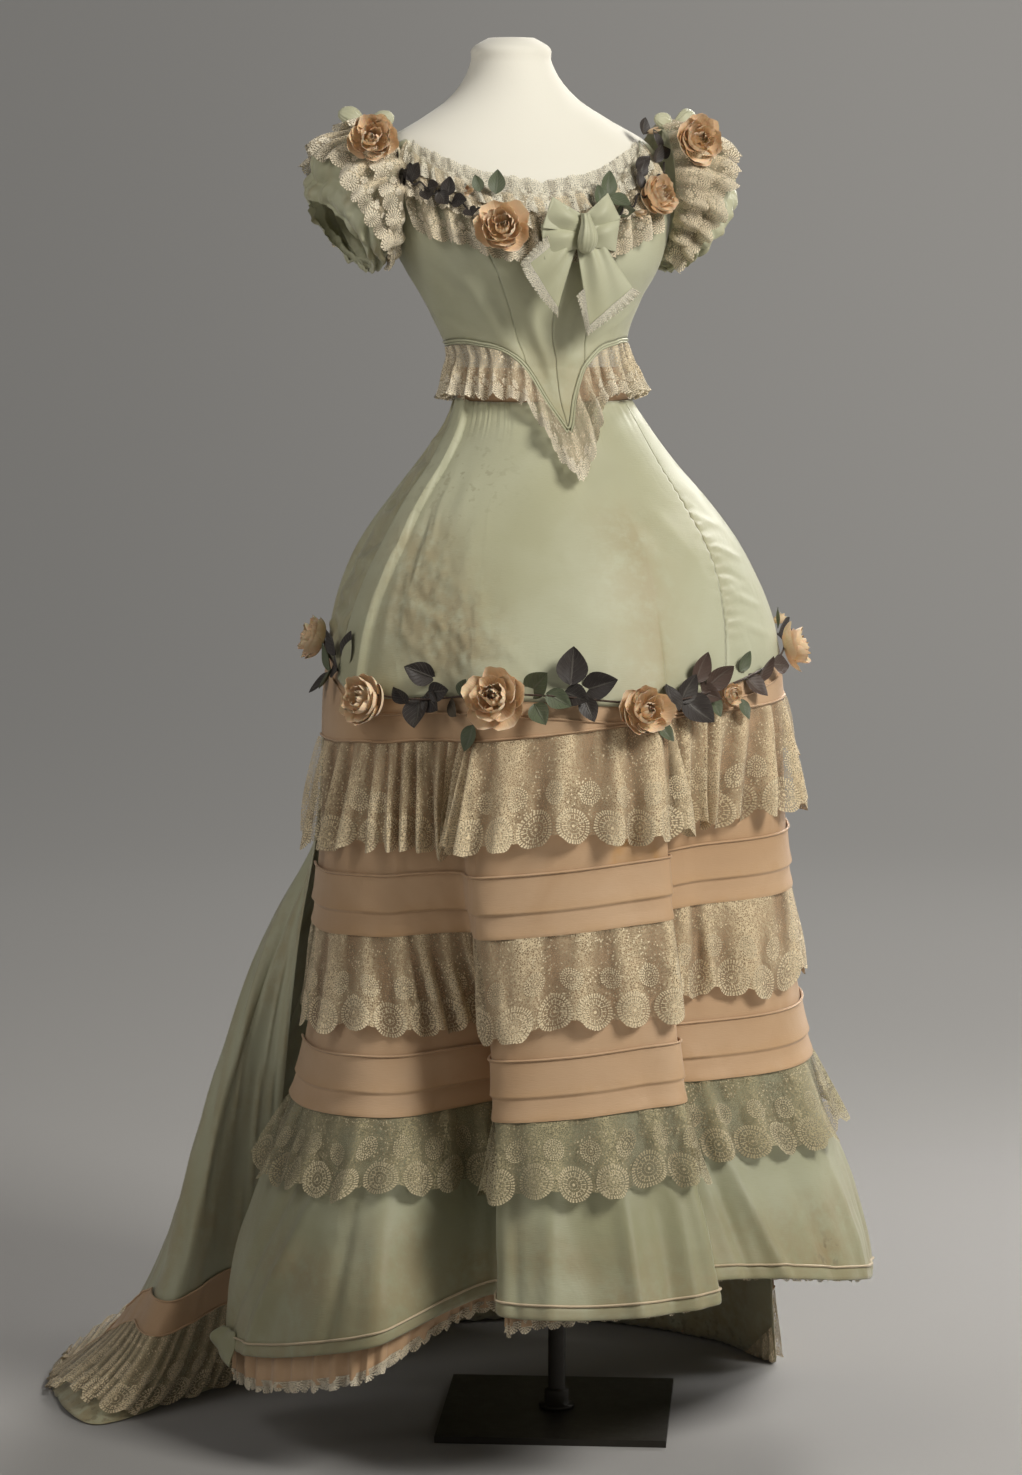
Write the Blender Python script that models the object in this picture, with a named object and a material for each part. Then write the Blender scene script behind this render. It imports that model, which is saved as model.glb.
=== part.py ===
"""Evening dress with a swept train, worn by a limbless dress form on a pole and base plate.

Every table below is in millimetres and degrees. The origin is under the middle of the base plate,
+Z is up, the dress faces -Y, and +X is the wearer's left. An angle is counted round the dress from
the centre front, towards the wearer's left.
"""

import math

import bpy
import numpy as np

MM = 0.001

# Cloth
CLOTH = 1.8
LACE = 1.5
SEAM = 0.4
SEAM_ANGLE = 0.12
GARLAND_BELOW_NECKLINE = 34.0

# Stand
PLATE_SIDE = 260.0
PLATE_THICK = 8.0
PLATE_TURN = 22.0
POLE_RADIUS = 10.0
POLE_SIDES = 16
FORM_FOOT = 1012.0
FORM_COLUMNS = 24

# The bodice is turned a little towards the wearer's right on the form
BODICE_TURN = -4.0
BODICE_EASE = 3.6
UNDER_BODICE = 4.0
TRIM_GAP = 1.0

# The bertha: how far below the neckline it runs, and how far its foot stands out
BERTHA_TOP = 9.0
BERTHA_FOOT = 76.0
BERTHA_STANDS = 13.0
BERTHA_RIPPLE = 3.0
PIPING_RADIUS = 2.2
WAIST_TOP = 1200.0
WAIST_FOOT = 1163.0

# Length round the waist of one degree
MM_A_DEGREE = 1.8

# Tiers of the front skirt, as heights at the middle of the front
PEACH_BAND_FOOT = 815.0
UPPER_TUCK_TOP = 671.0
UPPER_TUCK_FOLD = 630.0
UPPER_TUCK_FOOT = 604.0
LOWER_TUCK_TOP = 474.0
LOWER_TUCK_FOLD = 434.0
LOWER_TUCK_FOOT = 409.0
LACE_1_FOOT = 697.0
LACE_2_FOOT = 500.0
LACE_3_DROP = 82.0
PEACH_UNDER_APRON = 12.0
RUFFLE_TOP = 45.0
RUFFLE_SHOWS = (38.0, 14.0, 12.0, 4.0)
HEM_BAND_WIDTH = 15.0

# Train: widths measured up from its hem
TRAIN_LACE_WIDTH = 130.0
TRAIN_BAND_WIDTH = 42.0
TRAIN_FLOOR = CLOTH + 0.6
TRAIN_LEAVES_SKIRT = 650.0


def table(columns, *rows):
    """Rows of numbers under named columns, as one array for each column."""
    return {name: np.array([float(row[i]) for row in rows]) for i, name in enumerate(columns.split())}


FORM = table(
    "height half_width front back centre_x centre_y",
    (1566, 26, 28, 28, -24, 96),
    (1557, 42, 43, 43, -24, 96),
    (1541, 45, 47, 48, -24, 96),
    (1518, 56, 54, 58, -23, 95),
    (1496, 77, 60, 66, -22, 93),
    (1474, 112, 68, 74, -21, 90),
    (1451, 152, 78, 80, -20, 87),
    (1425, 166, 92, 84, -19, 82),
    (1390, 166, 108, 86, -17, 74),
    (1350, 158, 120, 86, -15, 66),
    (1312, 142, 118, 85, -13, 58),
    (1273, 119, 98, 82, -12.5, 54),
    (1228, 100, 80, 76, -11, 49),
    (1200, 93, 74, 74, -8, 42),
    (1163, 97, 76, 80, -6, 33),
    (1110, 108, 82, 94, -4, 18),
    (1050, 124, 90, 106, -2, 8),
    (1012, 126, 92, 108, -2, 6),
)

SKIRT = table(
    "height half_width front back centre_x centre_y",
    (1200, 96.2, 77, 77, -8, 42),
    (1163, 101, 80, 84, -6, 33),
    (1139, 112, 90, 110, -5, 22),
    (1095, 140, 104, 205, -3, 12),
    (1050, 176, 128, 250, -2, 5),
    (1005, 206, 165, 285, 0, 0),
    (939, 238, 205, 300, 0, 0),
    (870, 252, 238, 312, -2, 0),
    (750, 258, 256, 322, -3, 0),
    (650, 262, 268, 330, -4, 0),
    (409, 290, 300, 360, 0, 0),
    (200, 352, 372, 420, 0, 0),
    (90, 366, 386, 430, 0, 0),
)

# One row for each fold line of the front, from the wearer's right to the wearer's left. The insets
# say how far a line lies inside the skirt's plain section; lift moves the tiers, edge is the foot
# of the apron and hem the foot of the skirt.
FOLDS = table(
    "waist_angle angle hem_angle inset_upper inset_lower inset_hem lift edge hem",
    (-106, -106, -99, 0, 0, -16, -30, 893, 96),
    (-88, -88, -82, -4, -6, -12, -26, 868, 112),
    (-74, -74, -64, -4, -4, -8, -20, 845, 140),
    (-65, -65, -53, 8, 25, 8, -18, 846, 160),
    (-60, -60, -48, 22, 75, 85, -15, 848, 180),
    (-53, -53, -43, 38, 120, 145, -12, 851, 190),
    (-46, -46, -36, 45, 142, 140, -11, 853, 194),
    (-40, -40, -31.5, 14, 70, 40, -10, 853, 204),
    (-35, -35, -28, 0, 10, 0, -8, 853, 207),
    (-18, -18, -14, -3, -4, -6, 0, 850, 207),
    (-2, -2, 0, -3, -4, -3, 8, 845, 209),
    (12, 9, 9.5, 0, 0, 8, 12, 848, 212),
    (18, 11.5, 13, 38, 102, 70, 12, 849, 215),
    (33, 21, 24, 46, 76, 62, 14, 853, 216),
    (50, 31, 37, 40, 50, 30, 15, 857, 208),
    (64, 53, 52, 2, 12, 6, 16, 872, 190),
    (78, 73, 73, 0, 0, 0, 17, 885, 163),
    (93, 93, 93, 0, 0, 0, 17, 893, 158),
)
FOLD_COUNT = len(FOLDS["edge"])
APRON_LEFT_SEAM = 1
APRON_RIGHT_SEAM = 14

# One row for each fold line of the train, from the wearer's left, round the back, to the wearer's
# right: where it meets the floor, where its hem lies, and how far it stands out at the hip.
TRAIN = table(
    "hip_angle floor_x floor_y tail_x tail_y flute",
    (93.15, 317, 117, 322, 140, 0),
    (112, 270, 255, 318, 400, 10),
    (128, 137, 391, 262, 680, -8),
    (145, -61, 426, 122, 875, 12),
    (162, -215, 490, -58, 935, -8),
    (178, -345, 540, -222, 850, 14),
    (196, -430, 452, -322, 662, -6),
    (208, -506, 350, -472, 430, 8),
    (219, -536, 240, -532, 250, -4),
    (230, -512, 124, -516, 114, 4),
    (242, -398, 190, -402, 182, -2),
    (253.6, -300, 262, -303, 255, 0),
)
TRAIN_SEAMS = (0, 3, 6, 11)

# Sleeve rings from the armhole to the cuff, for the wearer's left side
SLEEVE = table(
    "out height tilt radius depth",
    (157, 1394, 0, 73, 66),
    (170, 1391, 7, 77, 80),
    (187, 1384, 15, 72, 76),
    (200, 1373, 25, 73, 80),
    (209, 1358, 34, 62, 70),
    (212, 1346, 41, 52, 60),
)
SLEEVE_CENTRE_X = -17.0
SLEEVE_CENTRE_Y = 78.0
SLEEVE_TURN_Y = 9.0
SLEEVE_COLUMNS = 14

# Edges of the bodice by angle from its centre front, the same on both sides
NECKLINE = table(
    "angle height",
    (0, 1384), (25, 1399), (46, 1428), (64, 1450), (76, 1410), (90, 1320),
    (104, 1370), (116, 1430), (126, 1448), (150, 1424), (180, 1410),
)
BASQUE = table(
    "angle height",
    (0, 1137), (8, 1168), (16, 1196), (28, 1218), (50, 1230), (90, 1229), (180, 1222),
)
FRONT_SEAM_TOP = 34.0
FRONT_SEAM_FOOT = 20.0
SIDE_SEAM = 92.0

GREEN_SILK = ("green_silk", (0.43, 0.45, 0.31), 0.45, 0.0)
PEACH_SILK = ("peach_silk", (0.56, 0.36, 0.22), 0.5, 0.0)
CREAM_LACE = ("cream_lace", (0.58, 0.49, 0.31), 0.85, 0.0)
ROSE_CLOTH = ("rose_cloth", (0.68, 0.42, 0.2), 0.8, 0.0)
LEAF_CLOTH = ("leaf_cloth", (0.045, 0.045, 0.042), 0.6, 0.0)
JERSEY = ("form_jersey", (0.87, 0.84, 0.74), 0.9, 0.0)
BLACK_STEEL = ("black_steel", (0.015, 0.013, 0.012), 0.45, 0.6)


def smooth(x, xs, ys):
    """The smooth curve through the rows (xs, ys), read at x, and level beyond its ends."""
    order = np.argsort(xs)
    xs = np.asarray(xs, float)[order]
    ys = np.asarray(ys, float)[order]
    slope = np.gradient(ys, xs)
    x = np.clip(x, xs[0], xs[-1])
    i = np.clip(np.searchsorted(xs, x) - 1, 0, len(xs) - 2)
    width = xs[i + 1] - xs[i]
    t = (x - xs[i]) / width
    start = ys[i] * (1 + 2 * t) * (1 - t) ** 2 + slope[i] * width * t * (1 - t) ** 2
    end = ys[i + 1] * t * t * (3 - 2 * t) + slope[i + 1] * width * t * t * (t - 1)
    return start + end


def blend(height, levels, values):
    """Mix one value for each level, smoothly by height; each value may be an array."""
    total = 0.0
    for i in range(len(levels)):
        share = np.zeros(len(levels))
        share[i] = 1.0
        total = total + smooth(height, levels, share) * values[i]
    return total


def along(rows, column, at):
    """A column of a table read between its rows, at a row number that may be broken."""
    return smooth(at, np.arange(len(rows[column])), rows[column])


def ring_point(rows, angle, height, out=0.0):
    """A point of the tube whose sections are in a table, moved out by some millimetres."""
    turn = np.radians(angle)
    front = np.cos(turn) > 0
    depth = np.where(front, smooth(height, rows["height"], rows["front"]),
                     smooth(height, rows["height"], rows["back"]))
    half_width = smooth(height, rows["height"], rows["half_width"])
    x = smooth(height, rows["height"], rows["centre_x"]) + (half_width + out) * np.sin(turn)
    y = smooth(height, rows["height"], rows["centre_y"]) - (depth + out) * np.cos(turn)
    return np.stack(np.broadcast_arrays(x, y, height + 0.0 * x), axis=-1)


def front_point(at, height):
    """A point of the front skirt at a fold line's number and a height."""
    angle = blend(height, (1163, 850, 650, 200), (
        along(FOLDS, "waist_angle", at), along(FOLDS, "angle", at),
        along(FOLDS, "angle", at), along(FOLDS, "hem_angle", at)))
    upper = along(FOLDS, "inset_upper", at)
    inset = blend(height, (960, 905, 815, 650, 409, 200), (
        0 * upper, 0.1 * upper, 0.4 * upper, upper,
        along(FOLDS, "inset_lower", at), along(FOLDS, "inset_hem", at)))
    return ring_point(SKIRT, angle, height, -inset)


def train_line(at):
    """The train's fold lines from the waist to the hem, each as 80 points at even lengths."""
    hip = [along(TRAIN, "hip_angle", at), along(TRAIN, "flute", at)]
    floor = np.stack([along(TRAIN, "floor_x", at), along(TRAIN, "floor_y", at)], axis=-1)
    tail = np.stack([along(TRAIN, "tail_x", at), along(TRAIN, "tail_y", at)], axis=-1)
    lines = []
    for height in np.linspace(WAIST_FOOT - SEAM, TRAIN_LEAVES_SKIRT, 14):
        grown = (WAIST_FOOT - height) / (WAIST_FOOT - TRAIN_LEAVES_SKIRT)
        lines.append(ring_point(SKIRT, hip[0], height, hip[1] * grown))
    leaves = lines[-1]
    for fallen in np.linspace(0, 1, 25)[1:]:
        spread = 0.75 * fallen ** 0.6 + 0.25 * fallen ** 10
        place = leaves.copy()
        place[..., :2] += spread * (floor - leaves[..., :2])
        place[..., 2] = TRAIN_LEAVES_SKIRT * (1 - fallen) + TRAIN_FLOOR * fallen
        lines.append(place)
    for trailed in np.linspace(0, 1, 13)[1:]:
        place = lines[-1].copy()
        place[..., :2] = floor + trailed * (tail - floor)
        place[..., 2] = TRAIN_FLOOR
        lines.append(place)
    return np.stack(lines, axis=-2)


def train_point(at, up_from_hem):
    """A point of the train at a fold line's number, so far up from its hem along the cloth."""
    lines = train_line(at)
    steps = np.linalg.norm(np.diff(lines, axis=-2), axis=-1)
    length = np.concatenate([np.zeros(steps.shape[:-1] + (1,)), np.cumsum(steps, axis=-1)], axis=-1)
    points = np.empty(up_from_hem.shape + (3,))
    for place in np.ndindex(up_from_hem.shape):
        run = length[place]
        for axis in range(3):
            points[place + (axis,)] = np.interp(run[-1] - up_from_hem[place], run, lines[place][:, axis])
    return points


def facing(surface, first, second, step_first, step_second):
    """Outward directions of a surface at a grid of its two parameters, the second running down."""
    across = surface(first + step_first, second) - surface(first - step_first, second)
    down = surface(first, second + step_second) - surface(first, second - step_second)
    out = np.cross(down, across)
    return out / np.maximum(np.linalg.norm(out, axis=-1, keepdims=True), 1e-9)


def grid_faces(columns, rows, ring=False):
    """Triangles over a grid of points numbered column by column, facing the side it is seen from."""
    index = np.arange(columns * rows).reshape(columns, rows)
    if ring:
        index = np.concatenate([index, index[:1]])
    a, b = index[:-1, :-1].ravel(), index[:-1, 1:].ravel()
    c, d = index[1:, 1:].ravel(), index[1:, :-1].ravel()
    return np.concatenate([np.stack([a, b, c], 1), np.stack([a, c, d], 1)])


def add_object(name, points, faces, finish):
    """One closed mesh in metres, with its own material."""
    label, colour, roughness, metallic = finish
    mesh = bpy.data.meshes.new(name)
    mesh.from_pydata((np.asarray(points).reshape(-1, 3) * MM).tolist(), [], [list(map(int, f)) for f in faces])
    mesh.update()
    material = bpy.data.materials.new(f"{name}_{label}")
    material.use_nodes = True
    shader = material.node_tree.nodes["Principled BSDF"]
    shader.inputs["Base Color"].default_value = (*colour, 1.0)
    shader.inputs["Roughness"].default_value = roughness
    shader.inputs["Metallic"].default_value = metallic
    mesh.materials.append(material)
    placed = bpy.data.objects.new(name, mesh)
    bpy.context.scene.collection.objects.link(placed)
    return placed


def wall(name, outer, out, thickness, finish, ring=False):
    """A wall of cloth: an outer grid of points, and the same grid moved inwards."""
    inner = outer - thickness * out
    columns, rows = outer.shape[:2]
    count = columns * rows
    skin = grid_faces(columns, rows, ring)
    index = np.arange(count).reshape(columns, rows)
    if ring:
        index = np.concatenate([index, index[:1]])
    edges = [(index[:-1, 0], index[1:, 0]), (index[1:, -1], index[:-1, -1])]
    if not ring:
        edges += [(index[0, 1:], index[0, :-1]), (index[-1, :-1], index[-1, 1:])]
    rims = []
    for start, end in edges:
        rims.append(np.stack([start, end, end + count], 1))
        rims.append(np.stack([start, end + count, start + count], 1))
    faces = np.concatenate([skin, skin[:, ::-1] + count] + rims)
    return add_object(name, np.concatenate([outer.reshape(-1, 3), inner.reshape(-1, 3)]), faces, finish)


def tube(name, centres, side, out, radius, finish, sides=4, ring=False):
    """A round cord of cloth along some centres; side and out are directions across it."""
    turn = np.arange(sides) * 2 * math.pi / sides + math.pi / sides
    circle = np.cos(turn)[None, :, None] * out[:, None] + np.sin(turn)[None, :, None] * side[:, None]
    points = centres[:, None] + radius * circle
    count = len(centres)
    index = np.arange(count * sides).reshape(count, sides)
    if ring:
        index = np.concatenate([index, index[:1]])
    index = np.concatenate([index, index[:, :1]], axis=1)
    a, b = index[:-1, :-1].ravel(), index[:-1, 1:].ravel()
    c, d = index[1:, 1:].ravel(), index[1:, :-1].ravel()
    faces = np.concatenate([np.stack([a, b, c], 1), np.stack([a, c, d], 1)]).tolist()
    if not ring:
        faces.append(index[0, :-1][::-1].tolist())
        faces.append(index[-1, :-1].tolist())
    return add_object(name, points, faces, finish)


def lathe_faces(columns, rows):
    """Faces of a closed turned shape whose first and last points are its two poles."""
    index = 1 + np.arange(columns * rows).reshape(columns, rows)
    index = np.concatenate([index, index[:1]])
    last = columns * rows + 1
    a, b = index[:-1, :-1].ravel(), index[:-1, 1:].ravel()
    c, d = index[1:, 1:].ravel(), index[1:, :-1].ravel()
    faces = [np.stack([a, b, c], 1), np.stack([a, c, d], 1)]
    faces.append(np.stack([0 * index[:-1, 0], index[:-1, 0], index[1:, 0]], 1))
    faces.append(np.stack([index[1:, -1], index[:-1, -1], 0 * index[:-1, 0] + last], 1))
    return np.concatenate(faces)


def direction_frame(out):
    """Two directions across a given one, the second as near to down as it can be."""
    out = np.asarray(out, float) / np.linalg.norm(out)
    down = np.array([0.0, 0.0, -1.0])
    down = down - out * down.dot(out)
    if np.linalg.norm(down) < 1e-6:
        down = np.array([0.0, -1.0, 0.0])
    down /= np.linalg.norm(down)
    return out, np.cross(out, down), down


def blossom(name, centre, out, radius, height, petals, finish):
    """A cloth rose or bud as one solid: a lobed cup whose middle stands up."""
    profile = table("reach rise", (0.3, 0.02), (0.8, 0.22), (1.0, 0.62), (0.72, 0.86), (0.34, 1.0))
    out, across, down = direction_frame(out)
    columns = petals * 2
    turn = -np.arange(columns) * 2 * math.pi / columns
    lobe = 1 + 0.1 * np.cos(petals * turn)
    reach = radius * lobe[:, None] * profile["reach"][None]
    points = (centre + reach[..., None] * (np.cos(turn)[:, None, None] * across
                                           + np.sin(turn)[:, None, None] * down)
              + height * profile["rise"][None, :, None] * out)
    rings = points[:, ::-1].reshape(-1, 3)
    points = np.concatenate([[centre + height * 0.93 * out], rings, [centre]])
    faces = lathe_faces(columns, len(profile["reach"]))
    return add_object(name, points, faces, finish)


def bodice_section(angle, height, out=0.0):
    """A point of the bodice's outer face: on the form above the waist, over the skirt below it."""
    turned = angle + BODICE_TURN
    upper = ring_point(FORM, turned, height, BODICE_EASE + CLOTH + out)
    lower = ring_point(SKIRT, turned, height, 2 * SEAM + CLOTH + out)
    share = np.clip((1232 - height) / 32, 0, 1)
    share = (share * share * (3 - 2 * share))[..., None]
    return upper * (1 - share) + lower * share


def neckline(angle):
    """Height of the bodice's upper edge, armholes included."""
    return smooth(np.abs(angle), NECKLINE["angle"], NECKLINE["height"])


def basque(angle):
    """Height of the bodice's lower edge."""
    return smooth(np.abs(angle), BASQUE["angle"], BASQUE["height"])


def basque_angles():
    """Angles of the panels' corners along the lower edge, once round from the centre back."""
    half = np.concatenate([np.linspace(0, FRONT_SEAM_FOOT, 4), np.linspace(FRONT_SEAM_FOOT, SIDE_SEAM, 5)[1:],
                           np.linspace(SIDE_SEAM, 180, 6)[1:]])
    return np.concatenate([-half[::-1], half[1:]])


def below_basque(distance):
    """Heights at the panels' corners of the lower edge moved down, square to itself."""
    angle = basque_angles()
    slope = np.gradient(basque(angle), angle) / MM_A_DEGREE
    return basque(angle) - distance * np.hypot(1, slope)


def body_wall(name, first, last, columns, top, foot, rows, out_top, out_foot, thickness, finish, ripple=0.0):
    """A wall round the body between two angles and two heights given by angle, with gathers."""
    angle = np.linspace(first, last, columns)[:, None]
    fallen = np.linspace(0, 1, rows)[None]
    wave = ripple * np.where(np.arange(columns) % 2, -1.0, 1.0)[:, None]

    def surface(a, f):
        height = top(a) + f * (foot(a) - top(a))
        return bodice_section(a, height, out_top + f * (out_foot - out_top))

    out = facing(surface, angle + 0 * fallen, fallen + 0 * angle, 0.5, 0.01)
    outer = surface(angle, fallen) + (wave * fallen)[..., None] * out
    return wall(name, outer, out, thickness, finish)


def covered(height):
    """How far the form lies under the bodice at a height: 1 well inside it, 0 outside it."""
    return np.clip((height - WAIST_TOP) / 28, 0, 1) * np.clip((1474 - height) / 40, 0, 1)


def build_stand():
    """Steel base plate, pole and the padded form with its shoulders but no limbs."""
    half = PLATE_SIDE / 2
    turn = math.radians(PLATE_TURN)
    corners = []
    for height in (0.0, PLATE_THICK):
        for x, y in ((-half, -half), (half, -half), (half, half), (-half, half)):
            corners.append((x * math.cos(turn) + y * math.sin(turn), y * math.cos(turn) - x * math.sin(turn), height))
    faces = [(3, 2, 1, 0), (4, 5, 6, 7), (0, 1, 5, 4), (1, 2, 6, 5), (2, 3, 7, 6), (3, 0, 4, 7)]
    add_object("base_plate", corners, faces, BLACK_STEEL)
    ends = np.array([[0, 0, PLATE_THICK + SEAM], [0, 0, FORM_FOOT - SEAM]])
    across = np.array([[1.0, 0, 0]] * 2)
    tube("pole", ends, np.array([[0, 1.0, 0]] * 2), across, POLE_RADIUS, BLACK_STEEL, POLE_SIDES)
    angle = np.arange(FORM_COLUMNS)[:, None] * 360 / FORM_COLUMNS
    height = FORM["height"][None]
    points = ring_point(FORM, angle + BODICE_TURN, height, -UNDER_BODICE * covered(height))
    top = points[:, 0].mean(axis=0)
    foot = points[:, -1].mean(axis=0)
    points = np.concatenate([[top], points.reshape(-1, 3), [foot]])
    add_object("dress_form", points, lathe_faces(FORM_COLUMNS, len(FORM["height"])), JERSEY)


def build_bodice():
    """Six bodice panels between curved seams, and the piping under the pointed basque."""
    def panel(name, left_top, left_foot, right_top, right_foot, columns):
        share = np.linspace(0, 1, columns)[:, None]
        fallen = np.linspace(0, 1, 8)[None]

        def surface(s, f):
            left = left_top + f * (left_foot - left_top)
            right = right_top + f * (right_foot - right_top)
            angle = left + s * (right - left)
            return bodice_section(angle, neckline(angle) + f * (basque(angle) - neckline(angle)))

        grid_share, grid_fallen = share + 0 * fallen, fallen + 0 * share
        wall(name, surface(grid_share, grid_fallen), facing(surface, grid_share, grid_fallen, 0.02, 0.01),
             CLOTH, GREEN_SILK)

    gap = 2 * SEAM_ANGLE
    top, foot = FRONT_SEAM_TOP, FRONT_SEAM_FOOT
    panel("bodice_front_left", gap, gap, top - gap, foot - gap, 4)
    panel("bodice_front_right", gap - top, gap - foot, -gap, -gap, 4)
    panel("bodice_side_left", top, foot, SIDE_SEAM - gap, SIDE_SEAM - gap, 5)
    panel("bodice_side_right", gap - SIDE_SEAM, gap - SIDE_SEAM, -top, -foot, 5)
    panel("bodice_back_left", SIDE_SEAM, SIDE_SEAM, 180 - gap, 180 - gap, 6)
    panel("bodice_back_right", gap - 180, gap - 180, -SIDE_SEAM, -SIDE_SEAM, 6)
    radius = PIPING_RADIUS
    angle = basque_angles()[:-1]
    height = below_basque(radius + SEAM)[:-1]
    centres = bodice_section(angle, height, 0.6)
    ahead = np.roll(centres, -1, axis=0) - np.roll(centres, 1, axis=0)
    ahead /= np.linalg.norm(ahead, axis=1, keepdims=True)
    out = facing(bodice_section, angle, height, 0.5, -1.0)
    tube("bodice_piping", centres, np.cross(ahead, out), out, radius, GREEN_SILK, ring=True)


def sleeve_point(side, turn, at, out=0.0):
    """A point of a sleeve; side is +1 for the wearer's left, turn runs round it from its top."""
    tilt = np.radians(along(SLEEVE, "tilt", at))
    radius = along(SLEEVE, "radius", at) + out
    depth = along(SLEEVE, "depth", at) + out
    rise = radius * np.cos(turn)
    x = SLEEVE_CENTRE_X + side * (along(SLEEVE, "out", at) + rise * np.sin(tilt))
    y = SLEEVE_CENTRE_Y - side * (SLEEVE_TURN_Y + depth * np.sin(turn))
    z = along(SLEEVE, "height", at) + rise * np.cos(tilt)
    return np.stack(np.broadcast_arrays(x, y, z), axis=-1)


def build_sleeves():
    """Cap sleeves, open at armhole and cuff, each with a ring of gathered lace round it."""
    turn = (np.arange(SLEEVE_COLUMNS) * 2 * math.pi / SLEEVE_COLUMNS)[:, None]
    for side, label in ((1, "left"), (-1, "right")):
        def surface(t, a, side=side):
            return sleeve_point(side, t, a)

        rows = np.arange(len(SLEEVE["out"]), dtype=float)[None]
        full_turn, full_rows = turn + 0 * rows, rows + 0 * turn
        out = facing(surface, full_turn, full_rows, 0.05, 0.1)
        wall(f"sleeve_{label}", surface(full_turn, full_rows), out, CLOTH, GREEN_SILK, ring=True)
        rows = np.array([[1.0, 2.0, 3.0]])
        full_turn, full_rows = turn + 0 * rows, rows + 0 * turn
        out = facing(surface, full_turn, full_rows, 0.05, 0.1)
        lift = LACE + SEAM + np.array([[0.0, 5.0, 7.0]])
        outer = surface(full_turn, full_rows) + lift[..., None] * out
        wall(f"sleeve_lace_{label}", outer, out, LACE, CREAM_LACE, ring=True)


def build_neck_lace():
    """Lace that stands above the neckline, and the bertha that falls from it."""
    for label, first, last in (("front", -51, 51), ("back", 130, 230)):
        def rim(a, label=label):
            return neckline(a if label == "front" else 360 - a) + 0 * a

        over = LACE + TRIM_GAP
        body_wall(f"neck_lace_{label}", first, last, 15, lambda a, r=rim: r(a) + 20, lambda a, r=rim: r(a) - 5,
                  3, over, over, LACE, CREAM_LACE)
        body_wall(f"bertha_lace_{label}", first, last, 21, lambda a, r=rim: r(a) - BERTHA_TOP,
                  lambda a, r=rim: r(a) - BERTHA_FOOT, 4, over, over + BERTHA_STANDS, LACE, CREAM_LACE,
                  ripple=BERTHA_RIPPLE)


def ribbon(name, start, across, out, down, reach, drop, width, loop, finish):
    """A folded or hanging strip of ribbon that leaves a knot at start, as one bent wall."""
    if loop:
        swing = np.linspace(0, 1, 9)
        run = reach * np.sin(math.pi * swing)
        stand = 16 + 6 * np.cos(math.pi * swing)
        fall = drop * np.sin(math.pi * swing)
    else:
        swing = np.linspace(0, 1, 5)
        run = reach * swing
        stand = 14 + 4 * swing
        fall = drop * swing
    spread = np.linspace(-0.5, 0.5, 2)[None, :, None] * width
    taper = (0.55 + 0.45 * np.sin(math.pi * swing * (1 if loop else 0.5)))[:, None, None]
    path = start + run[:, None] * across + stand[:, None] * out + fall[:, None] * down
    lean = down * reach - across * drop
    lean = lean / np.linalg.norm(lean)
    grid = path[:, None] + spread * taper * lean
    ahead = np.gradient(grid, axis=0)
    facing_out = np.cross(np.broadcast_to(lean, grid.shape), ahead)
    facing_out /= np.linalg.norm(facing_out, axis=-1, keepdims=True)
    return wall(name, grid, facing_out, LACE, finish)


def build_bow():
    """The centre front bow: a knot, two loops and two tails."""
    def place(angle, height, out):
        return bodice_section(np.array(angle + 0.0), np.array(height + 0.0), out)

    start = place(6, 1352, 9.4)
    out, across, down = direction_frame(start - place(6, 1352, -40.0))
    ribbon("bow_loop_right", start - 13.8 * across - 3 * down, -across, out, down, 34, -16, 30, True, GREEN_SILK)
    ribbon("bow_loop_left", start + 14.6 * across - 3 * down, across, out, down, 40, -10, 34, True, GREEN_SILK)
    ribbon("bow_tail_right", start - 12 * across + 18.5 * down - 0.6 * out, -across, out, down, 34, 58, 40, False, GREEN_SILK)
    ribbon("bow_tail_left", start + 12 * across + 9 * down + 1.9 * out, across, out, down, 28, 74, 46, False, GREEN_SILK)
    blossom("bow_knot", start, out, 13.4, 34, 4, GREEN_SILK)


def skirt_grid(at, heights):
    """Points of the front skirt on a grid of fold lines and heights, with outward directions.

    A direction is long enough at a fold to move the flat cloth on both its sides by 1 mm.
    """
    at = at[:, None] + 0 * heights
    points = front_point(at, heights)
    down = front_point(at, heights - 2.0) - front_point(at, heights + 2.0)
    across = np.diff(points, axis=0)
    before = np.cross(down, np.concatenate([across[:1], across]))
    after = np.cross(down, np.concatenate([across, across[-1:]]))
    before /= np.linalg.norm(before, axis=-1, keepdims=True)
    after /= np.linalg.norm(after, axis=-1, keepdims=True)
    return points, (before + after) / (1 + (before * after).sum(axis=-1, keepdims=True))


def halved(grid):
    """A grid with one more column midway between each two."""
    finer = np.repeat(grid, 2, axis=0)[:-1]
    finer[1::2] = (grid[:-1] + grid[1:]) / 2
    return finer


def tier(name, at, heights, out_by_row, thickness, finish, ripple_by_row=None, fine=False):
    """A wall made from the front skirt's own points, moved out row by row, with gathers."""
    points, out = skirt_grid(at, heights)
    if fine:
        points, out = halved(points), halved(out)
    columns = len(points)
    away = np.broadcast_to(np.asarray(out_by_row, float)[None], (columns, heights.shape[1])).copy()
    if ripple_by_row is not None:
        wave = np.where(np.arange(columns) % 2, -1.0, 1.0)[:, None]
        wave[[0, -1]] = 0.0
        away += wave * np.asarray(ripple_by_row, float)[None]
    return wall(name, points + away[..., None] * out, out, thickness, finish)


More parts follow.
